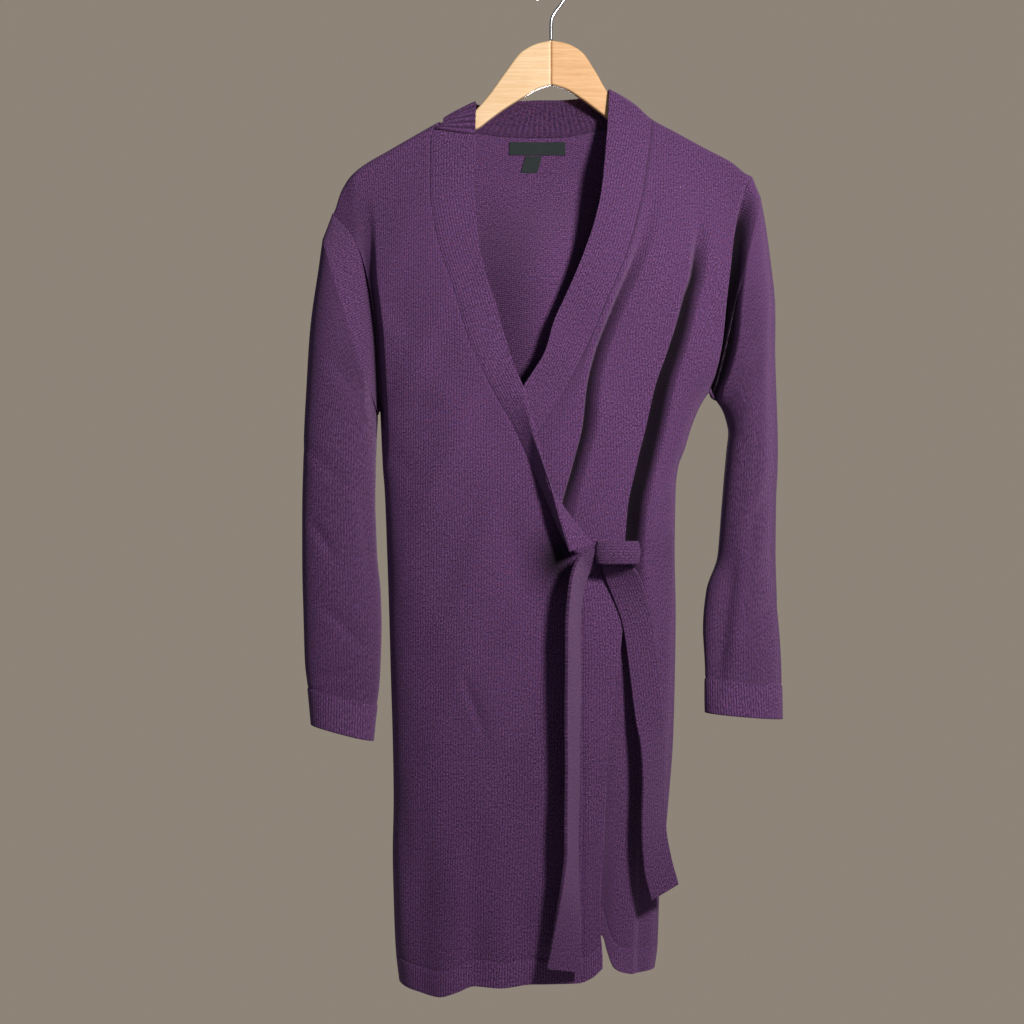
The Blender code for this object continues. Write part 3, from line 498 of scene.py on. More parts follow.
class Finish:
    """A material with one Principled shader, whose constants are set on the shader itself."""

    def __init__(self, name, **constants):
        self.material = bpy.data.materials.new(name)
        self.material.use_nodes = True
        self.tree = self.material.node_tree
        self.shader = self.tree.nodes["Principled BSDF"]
        for socket, value in constants.items():
            self.shader.inputs[socket.replace("_", " ")].default_value = value

    def node(self, kind, settings=None, sockets=None, output=0):
        """A node of this kind: its settings first, then the values or links of its sockets."""
        node = self.tree.nodes.new(kind)
        for name, value in (settings or {}).items():
            setattr(node, name, value)
        for name, value in (sockets or {}).items():
            if isinstance(value, Channel):
                self.tree.links.new(value.socket, node.inputs[name])
            else:
                node.inputs[name].default_value = value
        return Channel(self, node.outputs[output])

    def place(self):
        """A point's place on the object, in metres."""
        return self.node("ShaderNodeTexCoord", output="Object")

    def axes(self, vector):
        """The x, y and z of a vector."""
        parts = self.node("ShaderNodeSeparateXYZ", sockets={"Vector": vector}).socket.node
        return [Channel(self, socket) for socket in parts.outputs]

    def vector(self, x, y, z=0.0):
        return self.node("ShaderNodeCombineXYZ", sockets={"X": x, "Y": y, "Z": z})

    def noise(self, vector, scale, detail=2.0, roughness=0.5):
        return self.node(
            "ShaderNodeTexNoise",
            {"normalize": True},
            {"Vector": vector, "Scale": scale, "Detail": detail, "Roughness": roughness},
        )

    def stretched(self, vector, sizes):
        """The place, with each axis in steps of its own size."""
        scale = [1.0 / size for size in sizes]
        return self.node("ShaderNodeMapping", sockets={"Vector": vector, "Scale": scale})

    def colours(self, share, first, second):
        """A colour from first to second as share goes from 0 to 1."""
        return self.node(
            "ShaderNodeMix",
            {"data_type": "RGBA"},
            {0: share, 6: first, 7: second},
            output=2,
        )

    def set(self, **links):
        for socket, channel in links.items():
            self.tree.links.new(channel.socket, self.shader.inputs[socket.replace("_", " ")])

    def bump(self, height, distance, strength=1.0):
        """The shader's normal, from a height of 0 to 1 that is this many millimetres."""
        normal = self.node(
            "ShaderNodeBump", sockets={"Height": height, "Distance": distance * MM, "Strength": strength}
        )
        self.set(Normal=normal)

    def darkened(self, colour, share):
        """The colour times share, which goes from 0 to 1."""
        return self.node(
            "ShaderNodeMix",
            {"data_type": "RGBA", "blend_type": "MULTIPLY"},
            {0: 1.0, 6: colour, 7: share},
            output=2,
        )


# One column of knit stitches across, and one row of them down
WALE = 3.0
COURSE = 2.3
STITCH_RELIEF = 0.90
PLUM_DARK = (0.050, 0.018, 0.062, 1.0)
PLUM_LIGHT = (0.272, 0.114, 0.318, 1.0)
PLUM_RED = (0.220, 0.062, 0.165, 1.0)
PLUM_BLUE = (0.125, 0.068, 0.250, 1.0)
LINT = (0.62, 0.52, 0.60, 1.0)


def heathered(finish, weave, relief, brightness):
    """The wool's colour: fibres of several plums, with painted shade between the stitches, and a little pale
    lint.

    The piece's fold attribute darkens it too. That is painted shade, low in folds and valleys and beside the
    knot; being colour, it stays under any lamp.
    """
    fibre = finish.noise(finish.stretched(weave, (1.15, 2.1, 1.0)), 1.0, detail=2.0, roughness=0.65)
    yarn = finish.noise(finish.stretched(weave, (2.2, 6.0, 1.0)), 1.0, detail=2.0)
    drift = finish.noise(finish.place(), 11.0, detail=2.0)
    tone = finish.colours(fibre.between(0.38, 0.64), PLUM_DARK, PLUM_LIGHT)
    hue = finish.colours(yarn.between(0.35, 0.65), PLUM_BLUE, PLUM_RED)
    tone = finish.colours(drift.between(0.30, 0.75) * 0.22 + 0.10, tone, hue)
    speck = finish.node(
        "ShaderNodeTexVoronoi",
        {"feature": "F1"},
        {"Vector": finish.stretched(weave, (19, 23, 1)), "Scale": 1.0},
    )
    lint = (1.0 - speck.between(0.018, 0.035)) * finish.noise(weave, 0.035).between(0.60, 0.66)
    # Painted shade: the fold attribute and the stitch relief darken the colour in folds, valleys and between
    # stitches.
    fold = finish.node("ShaderNodeAttribute", {"attribute_name": "fold"}, output="Fac")
    tone = finish.darkened(tone, (relief * 0.50 + 0.50) * (1.0 - fold) * brightness)
    return finish.colours(lint * 0.7, tone, LINT)


def wool(name, brightness=1.0, wale=WALE, relief=STITCH_RELIEF):
    """Plain knit: columns of V stitches, or ribs where the piece's rib attribute is 1."""
    finish = Finish(
        name, Roughness=0.93, Sheen_Weight=0.30, Sheen_Roughness=0.45, Sheen_Tint=(0.62, 0.38, 0.67, 1.0),
        Specular_IOR_Level=0.22,
    )
    weave = finish.node("ShaderNodeUVMap", {"uv_map": "weave"})
    across, along_cloth, _ = finish.axes(weave)
    wander = finish.noise(finish.stretched(weave, (30, 55, 1)), 1.0) - 0.5
    column = across / wale + wander * 0.7
    beside = (column.part() - 0.5).size() * 2.0
    leg = (along_cloth / COURSE + beside * 0.8 + wander * 0.5).wave()
    groove = 1.0 - beside ** 3.0
    middle = beside.between(-0.1, 0.35) * 0.3 + 0.7
    stitch = (leg * 0.5 + 0.5) * groove * middle
    rib = finish.node("ShaderNodeAttribute", {"attribute_name": "rib"}, output="Fac")
    stitch = stitch * (1.0 - rib) + groove * (leg * 0.15 + 0.85) * rib
    fuzz = finish.noise(finish.stretched(weave, (0.8, 0.8, 1.0)), 1.0, detail=3.0, roughness=0.7)
    relief_share = stitch * 0.8 + fuzz * 0.2
    # The stitch height also goes into the colour: painted shade between the stitches.
    finish.set(Base_Color=heathered(finish, weave, stitch, brightness))
    finish.bump(relief_share, relief)
    return finish.material


def purl(name, brightness=1.0):
    """The inside of the knit: short level rows of loops."""
    finish = Finish(
        name, Roughness=0.95, Sheen_Weight=0.25, Sheen_Roughness=0.5, Sheen_Tint=(0.60, 0.42, 0.64, 1.0),
        Specular_IOR_Level=0.2,
    )
    weave = finish.node("ShaderNodeUVMap", {"uv_map": "weave"})
    across, along_cloth, _ = finish.axes(weave)
    wander = finish.noise(finish.stretched(weave, (24, 24, 1)), 1.0) - 0.5
    loop = (across / WALE + wander * 0.6).wave()
    row = (along_cloth / COURSE + loop * 0.35 + wander * 0.8).wave()
    relief = row * 0.75 + loop * 0.25
    # The loops' height also goes into the colour: painted shade between the rows of loops.
    finish.set(Base_Color=heathered(finish, weave, relief, brightness))
    finish.bump(relief, 0.7)
    return finish.material


def ribbed(name, brightness=1.0):
    """The collar's knit: its ribs are in its shape, with short stitches along them and painted shade between
    them.
    """
    finish = Finish(
        name, Roughness=0.93, Sheen_Weight=0.25, Sheen_Roughness=0.45, Sheen_Tint=(0.62, 0.38, 0.67, 1.0),
        Specular_IOR_Level=0.2,
    )
    weave = finish.node("ShaderNodeUVMap", {"uv_map": "weave"})
    across, along_cloth, _ = finish.axes(weave)
    crest = finish.node("ShaderNodeAttribute", {"attribute_name": "rib"}, output="Fac")
    leg = (along_cloth / COURSE + crest * 0.5).wave()
    fuzz = finish.noise(finish.stretched(weave, (0.9, 0.9, 1.0)), 1.0, detail=3.0, roughness=0.7)
    # The rib attribute darkens the colour between the ribs: painted shade.
    finish.set(Base_Color=heathered(finish, weave, crest * 1.1 - 0.25, brightness))
    finish.bump(leg * 0.35 + fuzz * 0.35, 0.6)
    return finish.material


def maple(name, pale, grain, seed):
    """Planed wood with fine grain along the board, and a thin clear varnish."""
    finish = Finish(name, Roughness=0.42, Coat_Weight=0.25, Coat_Roughness=0.22, Specular_IOR_Level=0.45)
    board = finish.node(
        "ShaderNodeMapping", sockets={"Vector": finish.place(), "Location": (seed, seed, seed)}
    )
    streak = finish.noise(finish.stretched(board, (0.060, 0.010, 0.0022)), 1.0, detail=5.0, roughness=0.65)
    pore = finish.noise(finish.stretched(board, (0.010, 0.002, 0.0005)), 1.0, detail=2.0)
    cloud = finish.noise(board, 18.0)
    share = streak.between(0.32, 0.70) * 0.7 + cloud.between(0.3, 0.7) * 0.3
    colour = finish.colours(share, grain, pale)
    finish.set(
        Base_Color=finish.darkened(colour, pore.between(0.25, 0.5) * 0.12 + 0.88),
        Roughness=streak * 0.2 + 0.32,
    )
    finish.bump(streak * 0.5 + pore * 0.5, 0.12)
    return finish.material


def wire_steel(name):
    """Bright drawn wire with faint lengthways scratches."""
    finish = Finish(name, Metallic=1.0, Base_Color=(0.62, 0.62, 0.63, 1.0))
    scratch = finish.noise(finish.stretched(finish.place(), (0.0006, 0.0006, 0.008)), 1.0, detail=3.0)
    finish.set(Roughness=scratch * 0.18 + 0.17)
    finish.bump(scratch, 0.03)
    return finish.material


def satin(name, colour, light):
    """A woven label: fine level picks across it."""
    finish = Finish(name, Specular_IOR_Level=0.25)
    x, _, z = finish.axes(finish.place())
    pick = (z / 0.00042).wave()
    thread = (x / 0.00065).wave()
    weave = pick * 0.7 + thread * 0.3
    cloud = finish.noise(finish.place(), 120.0, detail=3.0)
    finish.set(
        Base_Color=finish.colours(weave * 0.5 + cloud * 0.5, colour, light),
        Roughness=cloud * 0.2 + 0.48,
    )
    finish.bump(weave, 0.12)
    return finish.material


KNIT = wool("plum_wool_knit")
KNIT_BAND = wool("plum_wool_band", 1.02)
# The tie and its loop have a darker copy of the wool: painted shade, which dims the tie where it turns
# towards the lamp.
KNIT_TIE_SHADED = wool("plum_wool_tie_shaded", 0.90)
KNIT_RIB = ribbed("plum_wool_rib", 0.96)
PURL = purl("plum_wool_inside")
# The two arms are lit and shaded copies of one maple, the left paler and the right darker and more orange:
# painted light and shade, as on the real hanger the left arm's face turns towards the light and the right
# arm's away.
WOOD_LEFT_LIT = maple("maple_left_lit", (1.00, 0.74, 0.45, 1.0), (0.84, 0.55, 0.28, 1.0), 0.4)
WOOD_RIGHT_SHADED = maple("maple_right_shaded", (0.93, 0.58, 0.29, 1.0), (0.72, 0.40, 0.17, 1.0), 1.7)
STEEL = wire_steel("drawn_wire")
LABEL = satin("label_weave", (0.010, 0.016, 0.016, 1.0), (0.030, 0.044, 0.042, 1.0))


# Building one piece of cloth

# A sheet is never declared narrower than this: what shows of a narrower one is turned in. A sheet's
# worked-out cut size is never narrower than this: what shows of a narrower one is turned in
LEAST_CUT = 10.1


def stretch_along(net, axis, coordinate, origin):
    """Millimetres along the net's rows or columns, from where a coordinate of its points is at origin."""
    net = np.swapaxes(net, 0, 1) if axis == 0 else net
    reach = np.concatenate(
        [np.zeros((len(net), 1)), np.cumsum(np.linalg.norm(np.diff(net, axis=1), axis=2), axis=1)], axis=1
    )
    if coordinate is not None:
        line = net[..., coordinate]
        line, reach_sorted = (line, reach) if line[0, 0] < line[0, -1] else (line[:, ::-1], reach[:, ::-1])
        start = [np.interp(origin, x, r) for x, r in zip(line, reach_sorted)]
        reach = reach - np.array(start)[:, None]
    return reach.T if axis == 0 else reach


def weave_of(net, centre=None, level=None):
    """The knit's map: across from where x is centre, and along from where the drop is level."""
    across = stretch_along(net, 1, None if centre is None else 0, centre)
    down = stretch_along(net, 0, None if level is None else 2, None if level is None else -level)
    return np.stack([across, down], axis=-1)


def cloth(
    name, net, weave, wall, finishes, rib=0.0, fold=0.0, closed=False, flip=False, edge=0.0,
    stands_for=(),
):
    """A wall of cloth whose outside passes through the net. The size it is cut to is worked out, but not
    declared.

    rib is where the knit is ribbed, and fold is how much of its colour is taken away as painted shade, both
    from 0 to 1.
    """
    rows, columns = net.shape[:2]
    mesh = bmesh.new()
    bmesh.ops.create_grid(mesh, x_segments=columns - 1, y_segments=rows - 1, size=1.0)
    uv = mesh.loops.layers.uv.new("weave")
    ribs = mesh.verts.layers.float.new("rib")
    # The fold layer holds painted shade, not a shape.
    folds = mesh.verts.layers.float.new("fold")
    order = sorted(mesh.verts, key=lambda v: (round(v.co.y, 6), round(v.co.x, 6)))
    shares = np.stack([np.broadcast_to(share, (rows, columns)) for share in (rib, fold)], axis=-1)
    lists = [values.reshape(-1, values.shape[-1]) for values in (net, weave, shares)]
    for vertex, place, stitch, share in zip(order, *lists):
        vertex.co = Vector(place) * MM
        vertex[ribs], vertex[folds] = share
        for loop in vertex.link_loops:
            loop[uv].uv = stitch
    if closed:
        bmesh.ops.remove_doubles(mesh, verts=mesh.verts, dist=1e-6)
    if flip:
        bmesh.ops.reverse_faces(mesh, faces=mesh.faces)
    area = sum(face.calc_area() for face in mesh.faces)
    piece = stored(name, mesh, finishes)
    solid = piece.modifiers.new("wall", "SOLIDIFY")
    solid.thickness = wall * MM
    solid.offset = -1.0
    solid.material_offset = len(finishes) - 1
    solid.material_offset_rim = 0
    if edge:
        round_edge = piece.modifiers.new("soft_edge", "BEVEL")
        round_edge.width = edge * MM
        round_edge.segments = 2
        round_edge.limit_method = "ANGLE"
        round_edge.angle_limit = math.radians(60)
    size = [float(np.linalg.norm(np.diff(net, axis=axis), axis=2).sum(axis=axis).max()) for axis in (1, 0)]
    size = [max(length, LEAST_CUT) * MM for length in size]
    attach(piece, BODY_NAME)
    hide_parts(*stands_for)
    return piece


def stored(name, mesh, finishes):
    data = bpy.data.meshes.new(name)
    mesh.to_mesh(data)
    mesh.free()
    data.polygons.foreach_set("use_smooth", [True] * len(data.polygons))
    for finish in finishes:
        data.materials.append(finish)
    piece = bpy.data.objects.new(name, data)
    bpy.context.scene.collection.objects.link(piece)
    return piece


# Lines and depths of the dress, on finer nets than its solids

ROWS = finer(ROWS, ROW_STEPS)
SEAM_DIP = 0.7
SEAM_REACH = 2.6


def rail_drops(top, underarm, bottom):
    """The drop of each row along a side edge."""
    return np.interp(ROWS, (0, UNDERARM, 1), (top, underarm, bottom))


def side_rail(armhole, side, bottom):
    """The armhole and the side seam below it: x and drop for each row."""
    drop = rail_drops(armhole["drop"][0], armhole["drop"][-1], bottom)
    x = np.where(drop <= armhole["drop"][-1], along(armhole, "x", drop), along(BODY, side, drop))
    return np.stack([x, drop], axis=-1)


def patch(top, bottom, left, right):
    """A net of places between four edges that share their corners."""
    v = ROWS[:, None, None]
    share = np.cumsum(np.r_[0, np.linalg.norm(np.diff(top, axis=0), axis=1)])
    low = np.cumsum(np.r_[0, np.linalg.norm(np.diff(bottom, axis=0), axis=1)])
    u = ((1 - v[:, :, 0]) * (share / share[-1])[None] + v[:, :, 0] * (low / low[-1])[None])[:, :, None]
    return (
        (1 - u) * left[:, None] + u * right[:, None]
        + (1 - v) * top[None] + v * bottom[None]
        - (1 - u) * (1 - v) * top[0] - u * (1 - v) * top[-1]
        - (1 - u) * v * bottom[0] - u * v * bottom[-1]
    )


def spread(start, end, shares, steps=COLUMN_STEPS):
    return start + (end - start) * finer(shares, steps)


def in_space(places, depth):
    """Places seen from the front, with their distance towards the viewer, as points."""
    return np.stack([places[..., 0], -depth, -places[..., 1]], axis=-1)


def on_ridge(x):
    return np.stack([x, along(RIDGE, "drop", x, key="x")], axis=-1)


def on_line(rows, x):
    return np.stack([x, along(rows, "drop", x, key="x")], axis=-1)


def corner(edge, first, last):
    """An edge whose ends are moved onto the corners that it shares with its neighbours."""
    edge = edge.copy()
    edge[0], edge[-1] = first, last
    return edge


def creased(x, drop, rows):
    """How deep a table's creases are at a place: each is a soft trough along a line, faded at its ends."""
    total = np.zeros_like(x)
    for i in range(len(rows["deep"])):
        crease = {name: column[i] for name, column in rows.items()}
        run = np.array([crease["to_x"] - crease["from_x"], crease["to_drop"] - crease["from_drop"]])
        length = np.hypot(*run)
        from_x, from_drop = x - crease["from_x"], drop - crease["from_drop"]
        down = (from_x * run[0] + from_drop * run[1]) / length ** 2
        aside = (from_x * run[1] - from_drop * run[0]) / length
        fade = ramp(down, -0.18, 0.30) * (1 - ramp(down, 0.70, 1.18))
        width = np.where(aside < 0, crease["left"], crease["right"])
        total = total + crease["deep"] * fade * np.exp(-((aside / width) ** 2))
    return total


# The slow unevenness of hung knit: how long each swell is across and down, where it starts and how high it is
SWELLS = table(
    "across down start high",
    (61, 260, 0.3, 0.45),
    (97, 170, 1.7, 0.55),
    (143, 340, 4.1, 0.80),
    (37, 90, 2.6, 0.22),
    (-83, 120, 5.2, 0.35),
    (-171, 210, 0.9, 0.50),
)


def swells(x, drop):
    total = np.zeros_like(x)
    for across, down, start, high in zip(*SWELLS.values()):
        total = total + high * np.sin(TAU * (x / across + drop / down) + start)
    return total


def seam_dip(net_places, *sides):
    """The cloth is drawn in along its seams: left is the net's first column and right its last."""
    reach = stretch_along(net_places, 1, None, None)
    dip = 0.0
    if "left" in sides:
        dip = dip + SEAM_DIP * np.exp(-((reach / SEAM_REACH) ** 2))
    if "right" in sides:
        dip = dip + SEAM_DIP * np.exp(-(((reach[:, -1:] - reach) / SEAM_REACH) ** 2))
    return dip


def above_hem(places, hem):
    return along(hem, "drop", places[..., 0], key="x") - places[..., 1]


def hem_raise(above):
    """The hem is turned up and thicker, with a shallow groove where it is sewn."""
    groove = 0.5 * np.exp(-(((above - HEM_HEIGHT - 1.2) / 1.3) ** 2))
    return TURNED_RAISE * (1 - ramp(above, HEM_HEIGHT - 0.8, HEM_HEIGHT + 0.8)) - groove


def hem_rib(above):
    return 1 - ramp(above, HEM_HEIGHT - 1.0, HEM_HEIGHT)


# The creases of each front, seen from the front, and those of the back and the sleeves
OVER_CREASES = table(
    "from_x from_drop to_x to_drop left right deep",
    (-96, 768, -72, 828, 3.0, 5.0, 2.6),
    (-70, 742, 24, 738, 4.0, 7.0, 0.9),
    (-150, 858, 10, 862, 5.0, 9.0, 0.8),
    (-186, 486, -120, 470, 14, 16, 3.2),
    (-184, 520, -140, 560, 10, 14, 2.0),
    (-60, 560, -16, 700, 16, 20, 2.5),
    (-205, 330, -150, 400, 12, 18, 2.4),
    (-160, 900, -150, 1060, 9, 12, 2.2),
)
BACK_CREASES = table(
    "from_x from_drop to_x to_drop left right deep",
    (-186, 486, -110, 455, 14, 16, 3.5),
    (150, 486, 84, 450, 14, 16, 3.5),
    (-100, 230, 80, 236, 14, 20, 1.8),
    (-60, 700, 20, 712, 8, 12, 1.4),
    (-20, 860, 84, 850, 8, 12, 1.2),
    (-136, 640, -118, 700, 6, 9, 2.0),
)
UNDER_CREASES = table(
    "from_x from_drop to_x to_drop left right deep",
    (204, 236, 186, 330, 7, 12, 2.4),
    (150, 470, 118, 560, 9, 13, 4.0),
    (132, 560, 112, 616, 6, 10, 3.0),
    (70, 660, 96, 760, 8, 12, 2.2),
    (120, 700, 110, 860, 7, 9, 2.0),
)

# The pieces of cloth

left_side = side_rail(ARMHOLE_RIGHT, "left", 1101.0)
right_side = side_rail(ARMHOLE_LEFT, "right", 1088.0)
BACK_STEPS = 6
# The valley between each sleeve and the front: where it runs and how deep it is. VALLEY_SHAPE is how far from
# its line each side of it starts and ends.
VALLEY_RIGHT = table(
    "drop x deep",
    (246, -203, 0),
    (268, -200, 3),
    (300, -198.5, 8),
    (335, -197, 12),
    (362, -193.5, 13),
    (406, -189, 13),
    (478, -186, 13),
    (540, -184, 0),
)
VALLEY_LEFT = table(
    "drop x deep",
    (232, 214, 0),
    (260, 206.5, 10),
    (290, 201, 20),
    (324, 197, 24),
    (357, 193, 26),
    (406, 188, 26),
    (439, 181, 26),
    (458, 174.3, 26),
    (520, 168, 0),
)
VALLEY_SHAPE = {"right": (-17.0, -3.0, 0.0, 8.5), "left": (-2.0, 1.0, 5.0, 15.0)}


def arm_valley(x, drop, side):
    """How far the cloth lies below its even form in the valley beside an armhole."""
    line = VALLEY_RIGHT if side == "right" else VALLEY_LEFT
    away = x - along(line, "x", drop)
    first, low, last_low, last = VALLEY_SHAPE[side]
    return along(line, "deep", drop) * ramp(away, first, low) * (1 - ramp(away, last_low, last))


# The depths at which the painted shade of a valley starts and is full
VALLEY_SHADE_DEPTHS = (7.0, 17.0)


def valley_shade(x, drop, side):
    """How much painted shade a place gets beside the sleeve, from 0 to 1, by how far down in the valley it
    is.
    """
    return ramp(arm_valley(x, drop, side), *VALLEY_SHADE_DEPTHS)


def back_depth(x, drop):
    return np.maximum(folded(body_depth(x, drop, front=False), x, drop, BACK_FOLDS), SIDE_GAP)


def over_depth(x, drop):
    depth = folded(body_depth(x, drop, front=True), x, drop, OVER_FOLDS) - arm_valley(x, drop, "right")
    return np.maximum(depth, SIDE_GAP)


def hung(depth):
    """From 0 at the shoulder's ridge and the sides to 1 away from them: swells and creases fade there."""
    return ramp(depth, 16.0, 40.0)


# How much further the finished back sinks between the shoulders than its plain solid, and where it does
BACK_SUNK = 14.0
SUNK_MIDDLE = 8.0
SUNK_ACROSS = 60.0
SUNK_TOP = (214, 290)
SUNK_FOOT = (400, 520)


def back_outside(x, drop):
    """How far behind the hanger the outside of the back lies, with its swells and creases."""
    depth = back_depth(x, drop)
    sunk = BACK_SUNK * np.exp(-(((x - SUNK_MIDDLE) / SUNK_ACROSS) ** 2))
    sunk = sunk * ramp(drop, *SUNK_TOP) * (1 - ramp(drop, *SUNK_FOOT))
    return depth - sunk + (swells(x + 400.0, drop) - creased(x, drop, BACK_CREASES)) * hung(depth)


def make_back():
    shoulder = (0, 0.02, 0.07, 0.16, 0.30, 0.52, 0.76, 1)
    neck = (0, 0.1, 0.22, 0.35, 0.48, 0.61, 0.74, 0.88, 1)
    other = (0, 0.24, 0.48, 0.70, 0.84, 0.93, 0.98, 1)
    top = np.concatenate([
        on_ridge(spread(SHOULDER_RIGHT, LEFT_NECK, shoulder, BACK_STEPS))[:-1],
        on_line(BACK_NECK, spread(LEFT_NECK, RIGHT_NECK, neck, BACK_STEPS)),
        on_ridge(spread(RIGHT_NECK, SHOULDER_LEFT, other, BACK_STEPS))[1:],
    ])
    left = side_rail(ARMHOLE_RIGHT, "left", 1096.0)
    ends = np.array((0, 0.006, 0.020, 0.045, 0.085, 0.14, 0.20))
    shares = np.r_[ends, np.linspace(0.27, 0.73, 9), 1 - ends[::-1]]
    low = on_line(BACK_HEM, spread(left[-1, 0], right_side[-1, 0], shares, BACK_STEPS))
    top, low = corner(top, left[0], right_side[0]), corner(low, left[-1], right_side[-1])
    places = patch(top, low, left, right_side)
    x, drop = places[..., 0], places[..., 1]
    above = above_hem(places, BACK_HEM)
    net = in_space(places, -back_outside(x, drop) - hem_raise(above))
    return cloth(
        "knit_back", net, weave_of(net, 0.0, 600.0), PANEL_WALL, (KNIT, PURL), rib=hem_rib(above), edge=0.7,
        stands_for=("back_panel",),
    )


# Painted shade on the over-front beside the knot, joining the shadows of the band's crest and of the tie: a
# darker oval of colour only, for the cloth is not drawn in there.
TIE_SHADE = {"x": 4.0, "drop": 642.0, "across": 21.0, "down": 30.0}
# The most of the wool's colour that is taken away as painted shade, low in a fold or a valley and in that
# oval
FOLD_SHADE = 0.93


def make_over_front():
    seam_drop = rail_drops(161.0, OVER_LEVEL, 1093.0)
    seam = np.stack([along(OVER_SEAM, "x", seam_drop), seam_drop], axis=-1)
    top_shares = (0, 0.02, 0.06, 0.12, 0.20, 0.30, 0.40, 0.50, 0.60, 0.70, 0.80, 0.88, 0.95, 1)
    low_shares = (0, 0.008, 0.027, 0.06, 0.11, 0.17, 0.25, 0.34, 0.44, 0.55, 0.66, 0.78, 0.89, 1)
    top = on_ridge(spread(SHOULDER_RIGHT, LEFT_NECK, top_shares))
    low = on_line(OVER_HEM, spread(left_side[-1, 0], seam[-1, 0], low_shares))
    places = patch(corner(top, left_side[0], seam[0]), corner(low, left_side[-1], seam[-1]), left_side, seam)
    x, drop = places[..., 0], places[..., 1]
    depth = over_depth(x, drop)
    above = above_hem(places, OVER_HEM)
    uneven = (swells(x, drop) - creased(x, drop, OVER_CREASES)) * hung(depth)
    outside = depth + uneven + hem_raise(above)
    flat = in_space(places, depth)
    outside = outside - seam_dip(flat, "right")
    net = in_space(places, outside)
    # Painted shade: in the valley beside the sleeve, and in an oval beside the knot where the shadows of the
    # band's crest and of the tie meet.
    knot_shade = np.exp(-(((x - TIE_SHADE["x"]) / TIE_SHADE["across"]) ** 2))
    knot_shade = knot_shade * np.exp(-(((drop - TIE_SHADE["drop"]) / TIE_SHADE["down"]) ** 2))
    return cloth(
        "knit_over_front", net, weave_of(net, -150.0, 600.0), PANEL_WALL, (KNIT, PURL), rib=hem_rib(above),
        fold=FOLD_SHADE * np.maximum(valley_shade(x, drop, "right"), knot_shade),
        flip=True, edge=0.7, stands_for=("over_front_panel",),
    )


# The over-front's band above the tie: flat on the chest, then standing up in a crest where the tie draws it
BAND_START = 171.0
SEAM_END = 634.0
CREST_END = 640.0
EDGE_END = 624.0
EDGE_START = 8.0
CREST_SHARE = 0.85
BAND_ROWS = 260
BAND_STEPS = 6


def band_seam(drop):
    """The x of the seam between the over-front and its band."""
    return along(OVER_SEAM, "x", drop) - SEAM_LAP


def over_band_uneven(x, drop):
    return swells(x, drop) * hung(over_depth(x, drop))


def make_over_band():
    share = np.linspace(0, 1, BAND_ROWS)
    rows = BAND_START + (SEAM_END - BAND_START) * share
    edge_rows = BAND_START + EDGE_START * (1 - ramp(share, 0, 0.08)) + (EDGE_END - BAND_START) * share
    edge_rows = np.minimum(edge_rows, EDGE_END)
    columns = []
    for place in (0.0, 0.3, 0.62, CREST_SHARE, 1.0):
        drop = rows + (edge_rows - rows) * place
        crest_x, edge_x = along(OVER_BAND, "crest", drop), along(OVER_BAND, "edge", drop)
        crest_out, edge_out = along(OVER_BAND, "crest_out", drop), along(OVER_BAND, "edge_out", drop)
        if place <= CREST_SHARE:
            part = place / CREST_SHARE
            x = band_seam(rows) + (crest_x - band_seam(rows)) * part
            out = crest_out * part ** 1.3
            drop = drop + (CREST_END - SEAM_END) * part * ramp(share, 0.9, 1.0)
        else:
            x, out = edge_x, edge_out
        depth = over_depth(x, drop) + BAND_RAISE * ramp(place, 0.0, 0.3) + out + over_band_uneven(x, drop)
        columns.append(in_space(np.stack([x, drop], axis=-1), depth))
    net = rounded_across(np.stack(columns, axis=1), BAND_STEPS)
    net[..., 1] += seam_dip(net, "left")
    return cloth(
        "knit_over_band", net, weave_of(net), BAND_WALL, (KNIT_BAND,), flip=True, edge=1.1,
        stands_for=("over_front_band",),
    )


LOWER_START = 634.0
LOWER_ROWS = 200


def make_lower_band():
    level = np.linspace(0, 1, LOWER_ROWS)
    rows = LOWER_START + (1093.0 - LOWER_START) * level
    seam_at, edge_at = band_seam(rows), along(OVER_LOWER_EDGE, "x", rows)
    columns, above = [], []
    for place in finer((0, 0.25, 0.5, 0.75, 1.0), BAND_STEPS):
        x = seam_at + (edge_at - seam_at) * place
        foot = along(OVER_HEM, "drop", x[-1], key="x")
        drop = LOWER_START + (foot - LOWER_START) * level
        above.append(foot - drop)
        depth = over_depth(x, drop) + BAND_RAISE * ramp(place, 0.0, 0.25) + over_band_uneven(x, drop)
        columns.append(in_space(np.stack([x, drop], axis=-1), depth + hem_raise(foot - drop)))
    net = np.stack(columns, axis=1)
    net[..., 1] += seam_dip(net, "left")
    return cloth(
        "knit_lower_band", net, weave_of(net), BAND_WALL, (KNIT_BAND,), rib=hem_rib(np.stack(above, axis=1)),
        flip=True, edge=1.1, stands_for=("over_front_lower_band",),
    )


# The under-front, with two folds that drop steeply on the left and rise slowly to the right.
# Steep and wide are how far each reaches to the left and to the right of its lowest line.
FOLDS = table(
    "drop deep_a steep_a wide_a deep_b steep_b wide_b",
    (215, 0, 12, 14, 0, 12, 14),
    (250, 1.5, 12, 14, 2.5, 12, 16),
    (300, 5.5, 8, 15, 9, 8, 15),
    (340, 9, 5, 15, 16, 4, 17),
    (400, 12, 3, 15, 25, 2.2, 19),
    (460, 14, 2, 16, 30, 1.5, 22),
    (540, 15, 1.6, 17, 34, 1.4, 24),
    (600, 11, 2, 17, 33, 1.4, 22),
    (650, 3, 5, 18, 18, 3.0, 22),
    (720, 0, 6, 18, 7, 5.0, 22),
    (1100, 0, 6, 18, 4, 6.0, 22),
)
UNDER_SHALLOW = 14.0
UNDER_DEEP = 30.0
